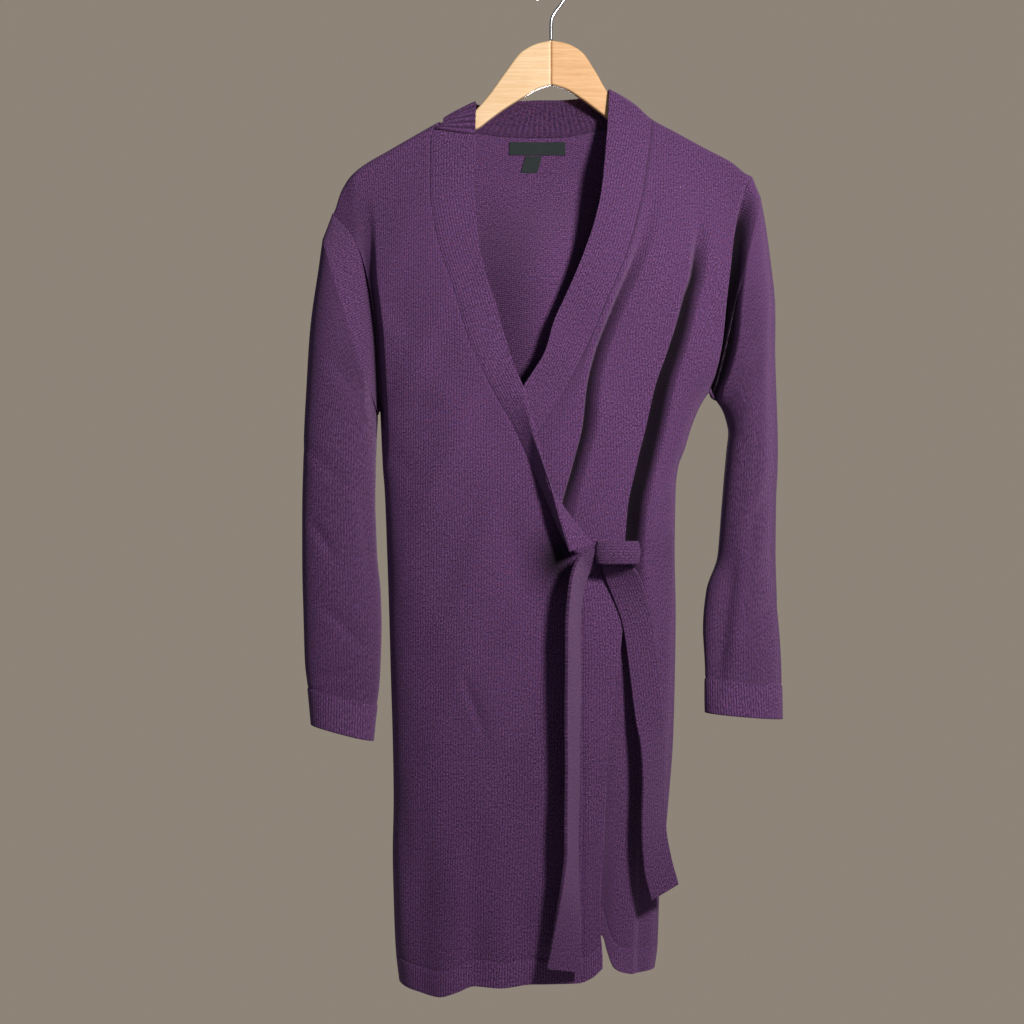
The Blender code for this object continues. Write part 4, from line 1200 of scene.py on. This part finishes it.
# The depths at which the painted shade of a fold starts and is full
FOLD_SHADE_DEPTHS = (4.0, 15.0)


def fold_depth(x, drop):
    """How deep the two folds go at a place."""
    depth = body_depth(x, drop, front=True, under=True)
    hollow = np.zeros(np.broadcast(x, drop).shape)
    for fold in ("a", "b"):
        away = x - along(UNDER_LINES, "fold_" + fold, drop)
        deep, steep, wide = (along(FOLDS, f"{kind}_{fold}", drop) for kind in ("deep", "steep", "wide"))
        shape = np.where(away < 0, ramp(away / steep, -1.0, 0.0), 1 - ramp(away / wide, 0.0, 1.0))
        hollow = hollow + deep * shape * ramp(depth, UNDER_SHALLOW, UNDER_DEEP)
    return hollow


def under_depth(x, drop):
    depth = body_depth(x, drop, front=True, under=True) - fold_depth(x, drop)
    return np.maximum(depth - arm_valley(x, drop, "left"), SIDE_GAP)


def between(first, second, shares):
    """Columns part of the way from one line to the next."""
    return [first + (second - first) * s for s in shares]


def beside(line, shift):
    """The line moved sideways."""
    return line + np.array([shift, 0.0])


def under_places():
    """The under-front's net, whose columns follow its band's seam and its two folds."""
    seam_drop = rail_drops(157.0, BAND_LEVEL, 1040.0)
    seam = np.stack([along(UNDER_LINES, "seam", seam_drop), seam_drop], axis=-1)
    folds = []
    for name, top, bottom in (("fold_a", 164.0, 1040.0), ("fold_b", 188.0, 1088.0)):
        drop = rail_drops(top, FOLD_LEVEL, bottom)
        folds.append(np.stack([along(UNDER_LINES, name, drop), drop], axis=-1))
    fold_a, fold_b = folds
    lines = between(seam, beside(fold_a, FOLD_PLACES[0]), np.linspace(0, 1, 12))[:-1]
    lines += [beside(fold_a, shift) for shift in FOLD_PLACES]
    middle = np.linspace(0, 1, 32)
    lines += between(beside(fold_a, FOLD_PLACES[-1]), beside(fold_b, FOLD_PLACES[0]), middle)[1:-1]
    lines += [beside(fold_b, shift) for shift in FOLD_PLACES]
    last = 1 - (1 - np.linspace(0, 1, 60)) ** 1.35
    lines += between(beside(fold_b, FOLD_PLACES[-1]), right_side, last)[1:]
    places = np.stack(lines, axis=1)
    level = ROWS[:, None]
    top_shift = on_ridge(places[0, :, 0])[:, 1] - places[0, :, 1]
    low_shift = along(UNDER_HEM, "drop", places[-1, :, 0], key="x") - places[-1, :, 1]
    places[..., 1] += top_shift[None] * (1 - ramp(level, 0, 0.25)) + low_shift[None] * ramp(level, 0.6, 1.0)
    return places


# Where the net's columns are beside a fold's lowest line, close together on its steep side
FOLD_PLACES = (-9, -7, -5.4, -4.2, -3.2, -2.5, -2.0, -1.6, -1.2, -0.8, -0.4, 0, 0.8, 2, 3.5, 5, 7, 9, 11)
BELOW_RIDGE = 0.6
UNDER_PLACES = under_places()


def make_under_front():
    places = UNDER_PLACES
    x, drop = places[..., 0], places[..., 1]
    depth = under_depth(x, drop)
    above = above_hem(places, UNDER_HEM)
    outside = depth + (swells(x, drop) - creased(x, drop, UNDER_CREASES)) * hung(depth) + hem_raise(above)
    outside = outside - seam_dip(in_space(places, depth), "left")
    net = in_space(places, outside)
    weave = weave_of(net, None, 600.0)
    weave[..., 0] += x[:, :1]
    # The fold attribute is painted shade, low in the two folds and in the valley beside the sleeve.
    return cloth(
        "knit_under_front", net, weave, PANEL_WALL, (KNIT, PURL), rib=hem_rib(above),
        fold=FOLD_SHADE * np.maximum(ramp(fold_depth(x, drop), *FOLD_SHADE_DEPTHS), valley_shade(x, drop, "left")),
        flip=True, edge=0.7, stands_for=("under_front_panel",),
    )


def make_under_band():
    seam_line = UNDER_PLACES[:, 0]
    ridge_drop = along(RIDGE, "drop", UNDER_LINES["edge"][0], key="x")
    edge_drop = seam_line[:, 1] - (seam_line[0, 1] - ridge_drop) * (1 - ramp(ROWS, 0, 0.12))
    edge_x = along(UNDER_LINES, "edge", edge_drop)
    columns, above = [], []
    for place in finer((0.0, 0.33, 0.67, 1.0), BAND_STEPS + 2):
        x = seam_line[:, 0] + SEAM_LAP + (edge_x - seam_line[:, 0] - SEAM_LAP) * place
        drop = seam_line[:, 1] + (edge_drop - seam_line[:, 1]) * place
        on_top = along(RIDGE, "drop", x, key="x")
        below_top = np.maximum(drop, on_top + BELOW_RIDGE * ramp(ROWS, 0, 0.0022))
        drop = np.where(ROWS == 0, on_top[0], below_top)
        above.append(drop[-1] - drop)
        depth = under_depth(x, drop)
        lifted = BAND_RAISE * ramp(place, 0.0, 0.33) * ramp(ROWS, 0, 0.02) + swells(x, drop) * hung(depth)
        columns.append(in_space(np.stack([x, drop], axis=-1), depth + lifted))
    net = np.stack(columns, axis=1)
    net[..., 1] += seam_dip(net, "left") * ramp(ROWS, 0, 0.02)[:, None]
    return cloth(
        "knit_under_band", net, weave_of(net), BAND_WALL, (KNIT_BAND,), rib=hem_rib(np.stack(above, axis=1)),
        edge=1.1, stands_for=("under_front_band",),
    )


# The rib-knit collar: from the left shoulder seam over the ridge, round the back neck, to the right shoulder
COLLAR = table(
    "place seam_x seam_drop edge_x edge_drop edge_back",
    (0.00, -127.3, 170.2, -83.0, 178.2, -16.0),
    (0.04, -123.8, 163.9, -83.0, 160.0, -15.0),
    (0.10, -115.6, 154.6, -83.0, 138.5, 0.0),
    (0.16, -110.5, 156.0, -80.0, 140.0, 13.0),
    (0.23, -100.0, 163.9, -68.0, 138.5, 17.0),
    (0.32, -80.0, 167.4, -50.0, 136.0, 20.0),
    (0.45, -44.0, 170.9, -28.0, 134.0, 23.0),
    (0.55, -15.0, 171.4, -12.0, 133.0, 24.0),
    (0.66, 13.0, 170.9, 8.0, 133.0, 24.0),
    (0.80, 54.0, 163.9, 38.0, 131.0, 21.0),
    (0.89, 82.0, 159.5, 54.0, 129.0, 18.0),
    (0.95, 98.0, 156.4, 61.0, 127.0, 12.0),
    (1.00, 106.0, 155.0, 63.5, 125.3, 1.5),
)
RIDGE_PLACE = 0.10
RIB_SAMPLES = 10
COLLAR_ROWS = 17
RIB_DEPTH = 1.3
# The collar's linked seam lies over the top of the back as a low ridge
COLLAR_LAP = 4.4
COLLAR_RIDGE = 0.4
LAP_SHARE = 0.12
LAP_START = (0.02, 0.08)
LAP_END = (0.92, 0.98)
# The ribs rise from the seam and sink a little towards the free edge
RIB_RISE = (0.0, 0.18)
RIB_FALL = (0.86, 1.0)
RIB_FALL_SHARE = 0.45


def collar_edge(edge, place):
    """The x and drop of one edge of the collar."""
    return np.stack([along(COLLAR, f"{edge}_{axis}", place, key="place") for axis in ("x", "drop")], axis=-1)


def collar_lines(place):
    """The collar's seam and its free edge, as points."""
    seam = collar_edge("seam", place)
    seam_back = np.where(
        place < RIDGE_PLACE,
        -body_depth(seam[..., 0], seam[..., 1], front=True),
        body_depth(seam[..., 0], seam[..., 1], front=False),
    )
    seam_back = seam_back * ramp(np.abs(place - RIDGE_PLACE), 0.0, 0.03)
    seam_back = np.where(place > 0.999, COLLAR["edge_back"][-1], seam_back)
    edge_back = along(COLLAR, "edge_back", place, key="place")
    return in_space(seam, -seam_back), in_space(collar_edge("edge", place), -edge_back)


def pushed(net, height, closed=False, outward=1.0):
    """The net's points, moved along its normals by a height in millimetres for each."""
    if closed:
        ring = net[:, :-1]
        across = np.roll(ring, -1, axis=1) - np.roll(ring, 1, axis=1)
        across = np.concatenate([across, across[:, :1]], axis=1)
    else:
        across = np.gradient(net, axis=1)
    normal = np.cross(across, np.gradient(net, axis=0))
    normal = normal / np.maximum(np.linalg.norm(normal, axis=2, keepdims=True), 1e-9)
    return net + normal * outward * np.broadcast_to(height, net.shape[:2])[..., None]


def make_collar():
    fine = np.linspace(0, 1, 801)
    middle = sum(collar_lines(fine)) / 2
    length = np.r_[0, np.cumsum(np.linalg.norm(np.diff(middle, axis=0), axis=1))]
    ribs = int(round(length[-1] / RIB_PITCH))
    samples = np.linspace(0, 1, ribs * RIB_SAMPLES + 1)
    seam_line, edge_line = collar_lines(np.interp(samples * length[-1], length, fine))
    net = np.stack([seam_line + (edge_line - seam_line) * s for s in np.linspace(0, 1, COLLAR_ROWS)], axis=0)
    level = np.linspace(0, 1, COLLAR_ROWS)[:, None]
    wave = RIB_DEPTH * (0.5 - 0.5 * np.cos(samples * ribs * TAU))
    settled = ramp(level, *RIB_RISE) * (1 - RIB_FALL_SHARE * ramp(level, *RIB_FALL))
    net = pushed(net, wave[None] * settled, outward=-1.0)
    lap = (1 - ramp(level, 0.0, LAP_SHARE)) * ramp(samples, *LAP_START)[None]
    lap = lap * (1 - ramp(samples, *LAP_END))[None]
    net[..., 2] -= COLLAR_LAP * lap
    net[..., 1] -= COLLAR_RIDGE * lap
    return cloth(
        "knit_collar", net, weave_of(net), BAND_WALL - 0.4, (KNIT_RIB,), rib=wave[None] * settled / RIB_DEPTH,
        flip=True, edge=0.9, stands_for=("back_neck_collar",),
    )


# The sleeves: rings from the armhole, turning from upright to level as they go down to the cuff
SLEEVE_RIGHT = table(
    "ring outer_x outer_drop inner_x inner_drop deep out",
    (1, -251, 290, -190.5, 483, 35, -1),
    (2, -258, 335, -191.5, 490, 37, -1),
    (3, -264, 392, -192.0, 499, 38, -1),
    (4, -268, 455, -192.5, 512, 37, 0),
    (5, -272, 520, -192.5, 536, 35, 2),
    (6, -273.5, 580, -191.5, 584, 33, 4),
    (7, -273, 643, -188.5, 648, 31, 6),
    (8, -272, 706, -186, 716, 29, 8),
    (9, -268.5, 757, -187.5, 772, 27, 10),
    (10, -265, 783, -190, 800, 25, 11),
    (11, -262, 822, -194, 840, 25, 12),
)
SLEEVE_LEFT = table(
    "ring outer_x outer_drop inner_x inner_drop deep out",
    (1, 230, 243, 177.5, 463, 34, -1),
    (2, 237, 280, 184, 470, 37, -1),
    (3, 242, 319, 190, 479, 39, -1),
    (4, 245.5, 368, 193.5, 490, 41, 0),
    (5, 246.5, 429, 195.5, 503, 42, 1),
    (6, 247.5, 500, 193, 524, 42, 2),
    (7, 246.5, 577, 187.5, 586, 40, 4),
    (8, 246.5, 632, 182.5, 637, 36, 6),
    (9, 248, 676, 170.5, 677, 30, 8),
    (10, 250, 731, 165.5, 726, 25, 10),
    (11, 251, 778, 166, 773, 24, 11),
    (12, 252, 816, 168, 809, 24, 12),
)
SLEEVE_POWER = 2.25
SLEEVE_RINGS = 190
RIGHT_SLEEVE_CREASES = table(
    "from_x from_drop to_x to_drop left right deep",
    (-262, 600, -236, 640, 5, 8, 3.0),
    (-268, 520, -225, 560, 6, 10, 2.2),
    (-205, 560, -196, 660, 7, 12, 3.4),
    (-250, 690, -205, 735, 6, 10, 2.6),
    (-240, 420, -205, 470, 9, 14, 2.8),
    (-262, 770, -215, 765, 5, 8, 2.0),
)
LEFT_SLEEVE_CREASES = table(
    "from_x from_drop to_x to_drop left right deep",
    (196, 640, 178, 780, 12, 9, 7.0),
    (215, 500, 200, 600, 9, 12, 2.6),
    (236, 560, 205, 640, 8, 12, 2.6),
    (245, 690, 205, 720, 6, 10, 2.2),
    (232, 400, 205, 460, 8, 12, 2.4),
)


def make_sleeve(side, armhole, rings, cuff_from, creases):
    """A tube from the armhole's edge, through rings that each have an outer and an inner end, and a depth."""
    ends = np.stack([along(armhole, "x", armhole["drop"][[0, -1]]), armhole["drop"][[0, -1]]], axis=-1)
    level = ROWS[ROWS <= UNDERARM + 1e-9] / UNDERARM
    drop = ends[0, 1] + (ends[1, 1] - ends[0, 1]) * level
    hole = np.stack([along(armhole, "x", drop), drop], axis=-1)
    low = arm_valley(hole[:, 0], hole[:, 1], side)
    front = in_space(hole, np.maximum(body_depth(hole[:, 0], hole[:, 1], front=True) - low, 0))
    back = in_space(hole, -np.maximum(body_depth(hole[:, 0], hole[:, 1], front=False), 0))
    first = np.concatenate([front, back[-2:0:-1]])
    first[0, 1], first[len(front) - 1, 1] = 0.0, 0.0
    turn = np.arccos(1 - 2 * level)
    turn = np.r_[turn, TAU - turn[-2:0:-1]]
    count = rings["ring"][-1]
    steps = np.linspace(1, count, SLEEVE_RINGS)
    rows = {column: along(rings, column, steps, key="ring")[:, None] for column in rings}
    cosine, sine = np.cos(turn), np.sin(turn)
    reach = np.sign(cosine) * np.abs(cosine) ** (2 / SLEEVE_POWER)
    bulge = np.sign(sine) * np.abs(sine) ** (2 / SLEEVE_POWER)
    x, drops = (
        (rows[f"outer_{axis}"] + rows[f"inner_{axis}"]) / 2
        + (rows[f"outer_{axis}"] - rows[f"inner_{axis}"]) / 2 * reach
        for axis in ("x", "drop")
    )
    net = in_space(np.stack([x, drops], axis=-1), rows["out"] + rows["deep"] * bulge)
    away = net[0] - first
    away = away / np.linalg.norm(away, axis=1)[:, None]
    start = first - away * SLEEVE_LAP
    share = finer((0, 0.5, 1.0), 6)[:-1, None, None]
    net = np.concatenate([start * (1 - share) + net[0] * share, net])
    steps = np.r_[np.full(len(share), 0.0), steps]
    net = np.concatenate([net, net[:, :1]], axis=1)
    facing = np.r_[bulge, bulge[:1]][None]
    x, drops = net[..., 0], -net[..., 2]
    fades = ramp(steps, 1.0, 2.0)[:, None]
    in_front = ramp(facing, 0.0, 0.35)
    net[..., 1] += arm_valley(x, drops, side) * in_front * ramp(steps, -0.5, 0.5)[:, None]
    # Painted shade, low in the valley beside the armhole, on the sleeve's front.
    fold = FOLD_SHADE * valley_shade(x, drops, side) * in_front
    uneven = (swells(x * 0.8, drops * 0.9) * 0.7 - creased(x, drops, creases)) * fades
    length = stretch_along(net, 0, None, None)
    above = length[-1:] - length
    cuff = float(np.interp(cuff_from, steps, np.arange(len(steps))))
    height = above[int(round(cuff))].mean()
    groove = 0.55 * np.exp(-(((above - height - 1.2) / 1.3) ** 2))
    raise_ = TURNED_RAISE * (1 - ramp(above, height - 1.0, height + 1.0)) - groove
    net = pushed(net, uneven + raise_, closed=True, outward=-1.0 if side == "right" else 1.0)
    rib = 1 - ramp(above, height - 1.0, height)
    weave = weave_of(net)
    middle = int(np.argmin(np.abs(turn - math.pi / 2)))
    weave[..., 0] -= weave[:, middle:middle + 1, 0]
    return cloth(
        f"knit_sleeve_of_{side}", net, weave, PANEL_WALL, (KNIT, PURL), rib=rib, fold=fold, closed=True,
        flip=side == "right", stands_for=(f"sleeve_{side}",),
    )


# The tie: each length is a strap between its two edges
TIE_LONG = table(
    "place near_x near_drop near_out far_x far_drop far_out",
    (0, 44.8, 629.0, 90, 44.8, 642, 74),
    (1, 41, 630.5, 93, 45, 648, 72),
    (2, 31, 637, 97, 39, 658, 71),
    (3, 23, 652, 101, 34, 676, 70),
    (4, 19, 676, 103, 32, 697, 69),
    (5, 16.5, 720, 104, 31, 727, 69.5),
    (6, 16, 787, 104, 31, 790, 70),
    (7, 16, 871, 105, 30, 874, 71),
    (8, 15.5, 944, 106, 29, 948, 73),
    (9, 12, 976, 106, 29, 983, 75),
    (10, 4, 1024, 102, 31, 1030, 79),
    (11, -6, 1071, 97, 32, 1078, 83),
)
TIE_SHORT = table(
    "place near_x near_drop near_out far_x far_drop far_out",
    (-1.5, 54.0, 624, 80, 83, 624, 79),
    (-0.6, 53.0, 640, 77, 83.7, 640, 76),
    (0, 53.5, 649, 74, 85.4, 648, 78),
    (1, 57, 662, 63.5, 93, 660, 71),
    (2, 66, 684, 60.5, 101, 682, 63.5),
    (3, 75, 709, 61, 107, 706, 61),
    (4, 80, 740, 63, 112, 735, 60),
    (5, 84, 772, 66, 116, 766, 60),
    (6, 89, 810, 70, 119, 805, 60),
    (7, 95, 842, 76, 120.5, 838, 57),
    (8, 97, 880, 78, 122, 878, 56),
    (9, 96, 930, 79, 123.5, 928, 56),
    (10, 98, 968, 78, 128, 958, 58),
    (11, 106, 1003, 76, 136, 988, 62),
)
KNOT_LOOP = table(
    "place x out",
    (0, 69, 94),
    (1, 82, 92),
    (2, 90.5, 87),
    (3, 91, 77),
    (4, 84, 64),
    (5, 69, 57.0),
    (6, 54.4, 63),
    (7, 46.8, 76),
    (8, 47.8, 87),
    (9, 57, 93),
    (10, 69, 94),
)
KNOT_TOP = 621.0
KNOT_BOTTOM = 645.0
KNOT_SWELL = 2.2
KNOT_WALL = 3.0
LIP = table(
    "place top_x top_drop top_out low_x low_drop low_out",
    (0, 20.5, 641.2, 90, 18.5, 645.5, 85),
    (1, 26, 635.8, 90, 25, 640.6, 86.6),
    (2, 33, 630.0, 89.5, 33, 634.2, 86.4),
    (3, 38.5, 626.6, 87, 38.5, 630.0, 84.0),
    (4, 43, 625.2, 85, 43, 628.4, 82.0),
)
STRAP_ACROSS = 17
STRAP_BOW = 0.7


def make_strap(name, lines, first, second, steps, wall, stands_for):
    """A strap of cloth between two named edge lines, bowed a little across."""
    places = np.linspace(lines["place"][0], lines["place"][-1], steps)
    edges = []
    for side in (first, second):
        x, drop, out = (along(lines, f"{side}_{axis}", places, key="place") for axis in ("x", "drop", "out"))
        edges.append(in_space(np.stack([x, drop], axis=-1), out))
    shares = np.linspace(0, 1, STRAP_ACROSS)
    net = np.stack([edges[0] + (edges[1] - edges[0]) * s for s in shares], axis=1)
    length = stretch_along(net, 0, None, None)
    bow = STRAP_BOW * (np.sin(math.pi * shares)[None] ** 0.8 - 1) + 0.25 * np.sin(length / 17.0)
    net = pushed(net, bow, outward=-1.0)
    return cloth(
        name, net, weave_of(net), wall, (KNIT_TIE_SHADED,), flip=True, edge=wall * 0.42,
        stands_for=stands_for,
    )


def make_loop():
    steps = np.linspace(0, 10, 121)
    loop_x, loop_out = (along(KNOT_LOOP, axis, steps, key="place") for axis in ("x", "out"))
    away = np.stack([loop_x - loop_x.mean(), loop_out - loop_out.mean()], axis=-1)
    away = away / np.linalg.norm(away, axis=1)[:, None]
    levels = []
    for share in np.linspace(0, 1, STRAP_ACROSS):
        swell = KNOT_SWELL * (1 - (2 * share - 1) ** 2)
        drop = np.full(len(loop_x), KNOT_TOP + (KNOT_BOTTOM - KNOT_TOP) * share)
        places = np.stack([loop_x + away[:, 0] * swell, drop], axis=-1)
        levels.append(in_space(places, loop_out + away[:, 1] * swell))
    net = np.stack(levels, axis=0)
    return cloth(
        "knit_tie_loop", net, weave_of(net)[..., ::-1], KNOT_WALL, (KNIT_TIE_SHADED,), closed=True, flip=True,
        edge=1.2,
        stands_for=("tie_knot_loop",),
    )


# Labels on the inside of the back, below the collar
LABEL_LIFT = 0.5
LABEL_SIZE = {"left": -46.0, "right": 16.5, "top": 180.0, "bottom": 194.0}
TAG_SIZE = {"left": -28.0, "right": -9.5, "top": 195.0, "bottom": 213.0}
TAG_LEAN = 0.30


def make_label(name, size, columns, rows, stands_for, lean=0.0):
    x = np.linspace(size["left"], size["right"], columns)
    drop = np.linspace(size["top"], size["bottom"], rows)
    places = np.stack(np.meshgrid(x, drop), axis=-1)
    places[..., 0] -= lean * np.maximum(places[..., 1] - size["top"], 0)
    lift = PANEL_WALL + LABEL_LIFT - back_outside(places[..., 0], places[..., 1])
    net = in_space(places, lift)
    return cloth(
        name, net, weave_of(net), LABEL_WALL, (LABEL,), edge=0.25,
        stands_for=(stands_for,),
    )


# The hanger's arms: flat boards of wood with rounded edges, and the hook bent from wire
ARM_LEFT = table(
    "x top bottom",
    (-214, 232, 238),
    (-208, 222, 244),
    (-197, 213.5, 242),
    (-179, 202.5, 231),
    (-153, 188, 217),
    (-123, 171, 201),
    (-100, 159.5, 184),
    (-86, 151.5, 171.5),
    (-79, 144.5, 168),
    (-68, 131.5, 159.5),
    (-50.6, 107.3, 147),
    (-32, 84, 135.5),
    (-14, 75, 125),
    (0, HANGER_TOP, 120.5),
)
ARM_RIGHT = table(
    "x top bottom",
    (0, HANGER_TOP, 120.5),
    (16, 75, 125.5),
    (33, 84, 136),
    (48, 105, 147),
    (61, 127.5, 157),
    (76, 147, 170),
    (94, 157, 183),
    (109, 170, 195),
    (136, 182, 209),
    (169, 199.5, 226),
    (188, 210, 236),
    (199, 217, 239),
    (205, 226, 236),
)
ARM_POINTS = 90
HOOK_TURNS = np.radians(np.linspace(-38, 216, 60))
HOOK_STEM = ((0.0, HANGER_TOP - HOOK_REST), (0.0, 62.0), (0.0, 54.0), (1.2, 46.5), (5.0, 39.5), (9.8, 33.5))


def make_arm(name, rows, joint_side, finish, node):
    x = np.linspace(rows["x"][0], rows["x"][-1], ARM_POINTS)
    top, bottom = along(rows, "top", x, key="x"), along(rows, "bottom", x, key="x")
    x[joint_side] += JOINT_GAP * (1 if joint_side == 0 else -1)
    outline = list(zip(x, top)) + list(zip(x[::-1], bottom[::-1]))
    curve = bpy.data.curves.new(name + "_outline", "CURVE")
    curve.dimensions = "2D"
    curve.fill_mode = "BOTH"
    curve.extrude = (ARM_THICK / 2 - ARM_EDGE) * MM
    curve.bevel_depth = ARM_EDGE * MM
    curve.bevel_resolution = 4
    curve.offset = -ARM_EDGE * MM
    draw(curve, [(at_x, -drop, 0.0) for at_x, drop in outline], cyclic=True)
    piece = meshed(name, curve, finish, Matrix.Rotation(math.radians(90), 4, "X"))
    piece.modifiers.new("flat_faces", "WEIGHTED_NORMAL").weight = 90
    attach(piece, BODY_NAME)
    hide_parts(node)
    return piece


def make_hook():
    crook = HOOK_INNER + HOOK_WIRE / 2
    bend = [(crook * math.cos(turn), HOOK_INNER - crook * math.sin(turn)) for turn in HOOK_TURNS]
    line = np.concatenate([rounded(HOOK_STEM, 4), bend])
    curve = bpy.data.curves.new("hook_line", "CURVE")
    curve.dimensions = "3D"
    curve.bevel_depth = HOOK_WIRE / 2 * MM
    curve.bevel_resolution = 6
    curve.use_fill_caps = True
    draw(curve, [(at_x, 0.0, -drop) for at_x, drop in line])
    piece = meshed("wire_hook", curve, STEEL)
    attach(piece, BODY_NAME)
    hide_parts("hanger_hook")
    return piece


def draw(curve, points, cyclic=False):
    line = curve.splines.new("POLY")
    line.points.add(len(points) - 1)
    for point, place in zip(line.points, points):
        point.co = (*(Vector(place) * MM), 1.0)
    line.use_cyclic_u = cyclic


def meshed(name, curve, finish, turn=None):
    """A curve as a mesh object, with the points where its caps meet its sides made one."""
    drawn = bpy.data.objects.new(name + "_line", curve)
    bpy.context.scene.collection.objects.link(drawn)
    solid = bmesh.new()
    solid.from_mesh(drawn.to_mesh())
    drawn.to_mesh_clear()
    bpy.data.objects.remove(drawn)
    if turn is not None:
        bmesh.ops.transform(solid, matrix=turn, verts=solid.verts)
    bmesh.ops.remove_doubles(solid, verts=solid.verts, dist=1e-5)
    bmesh.ops.recalc_face_normals(solid, faces=solid.faces[:])
    return stored(name, solid, (finish,))


make_back()
make_over_front()
make_over_band()
make_lower_band()
make_under_front()
make_under_band()
make_collar()
make_sleeve("right", ARMHOLE_RIGHT, SLEEVE_RIGHT, 10.0, RIGHT_SLEEVE_CREASES)
make_sleeve("left", ARMHOLE_LEFT, SLEEVE_LEFT, 11.0, LEFT_SLEEVE_CREASES)
make_strap("knit_tie_long", TIE_LONG, "near", "far", 330, TIE_WALL, ("tie_end_long",))
make_strap(
    "knit_tie_short", TIE_SHORT, "near", "far", 300, TIE_WALL, ("tie_end_short",)
)
make_strap("knit_tie_lip", LIP, "top", "low", 60, LIP_WALL, ("tie_lip",))
make_loop()
make_label("satin_label", LABEL_SIZE, 40, 12, "neck_label")
make_label("satin_size_tag", TAG_SIZE, 16, 14, "size_tag", TAG_LEAN)
make_arm("wood_arm_left", ARM_LEFT, -1, WOOD_LEFT_LIT, "hanger_arm_left")
make_arm("wood_arm_right", ARM_RIGHT, 0, WOOD_RIGHT_SHADED, "hanger_arm_right")
make_hook()


# The floor, the light and the camera

FLOOR_LEVEL = -1.37
FLOOR_RADIUS = 0.62
BACKDROP = (0.270, 0.229, 0.188, 1.0)
AMBIENT = 0.12
VIEW_X = -0.0429
VIEW_DROP = 0.5901
VIEW_AWAY = 2.2
VIEW_WIDTH = 1.1264


def make_floor():
    mesh = bmesh.new()
    bmesh.ops.create_circle(mesh, cap_ends=True, segments=96, radius=FLOOR_RADIUS)
    bmesh.ops.translate(mesh, vec=(0.0, 0.0, FLOOR_LEVEL), verts=mesh.verts)
    finish = Finish("pale_floor", Roughness=0.85, Specular_IOR_Level=0.2)
    cloud = finish.noise(finish.place(), 9.0, detail=3.0)
    finish.set(Base_Color=finish.colours(cloud, (0.50, 0.45, 0.39, 1.0), (0.56, 0.51, 0.44, 1.0)))
    floor = stored("floor", mesh, (finish.material,))


def make_lamp(name, place, aim, size, power, colour, spread=180):
    light = bpy.data.lights.new(name, "AREA")
    light.shape = "DISK"
    light.size = size
    light.energy = power
    light.color = colour
    light.spread = math.radians(spread)
    lamp = bpy.data.objects.new(name, light)
    bpy.context.scene.collection.objects.link(lamp)
    lamp.location = place
    lamp.rotation_euler = (Vector(aim) - Vector(place)).to_track_quat("-Z", "Y").to_euler()


def make_light():
    world = bpy.data.worlds.new("studio")
    bpy.context.scene.world = world
    world.use_nodes = True
    nodes, links = world.node_tree.nodes, world.node_tree.links
    seen, lighting = nodes["Background"], nodes.new("ShaderNodeBackground")
    seen.inputs["Color"].default_value = BACKDROP
    lighting.inputs["Color"].default_value = (0.85, 0.90, 1.0, 1.0)
    lighting.inputs["Strength"].default_value = AMBIENT
    ray, mix = nodes.new("ShaderNodeLightPath"), nodes.new("ShaderNodeMixShader")
    links.new(ray.outputs["Is Camera Ray"], mix.inputs[0])
    links.new(lighting.outputs["Background"], mix.inputs[1])
    links.new(seen.outputs["Background"], mix.inputs[2])
    links.new(mix.outputs["Shader"], nodes["World Output"].inputs["Surface"])
    make_lamp("key_light", (0.66, -1.28, -0.02), (-0.04, 0.0, -0.36), 0.22, 14.6, (1.0, 0.95, 0.93), 142)
    make_lamp("back_light", (0.25, 2.30, -0.15), (0.0, 0.0, -0.55), 0.90, 26.0, (1.0, 0.97, 0.94))


def make_camera():
    data = bpy.data.cameras.new("camera")
    data.sensor_width = 36.0
    data.lens = 36.0 * VIEW_AWAY / VIEW_WIDTH
    camera = bpy.data.objects.new("camera", data)
    bpy.context.scene.collection.objects.link(camera)
    camera.location = (VIEW_X, -VIEW_AWAY, -VIEW_DROP)
    camera.rotation_euler = (math.radians(90), 0.0, 0.0)
    bpy.context.scene.camera = camera


make_floor()
make_light()
make_camera()
bpy.context.scene.view_settings.view_transform = "Standard"
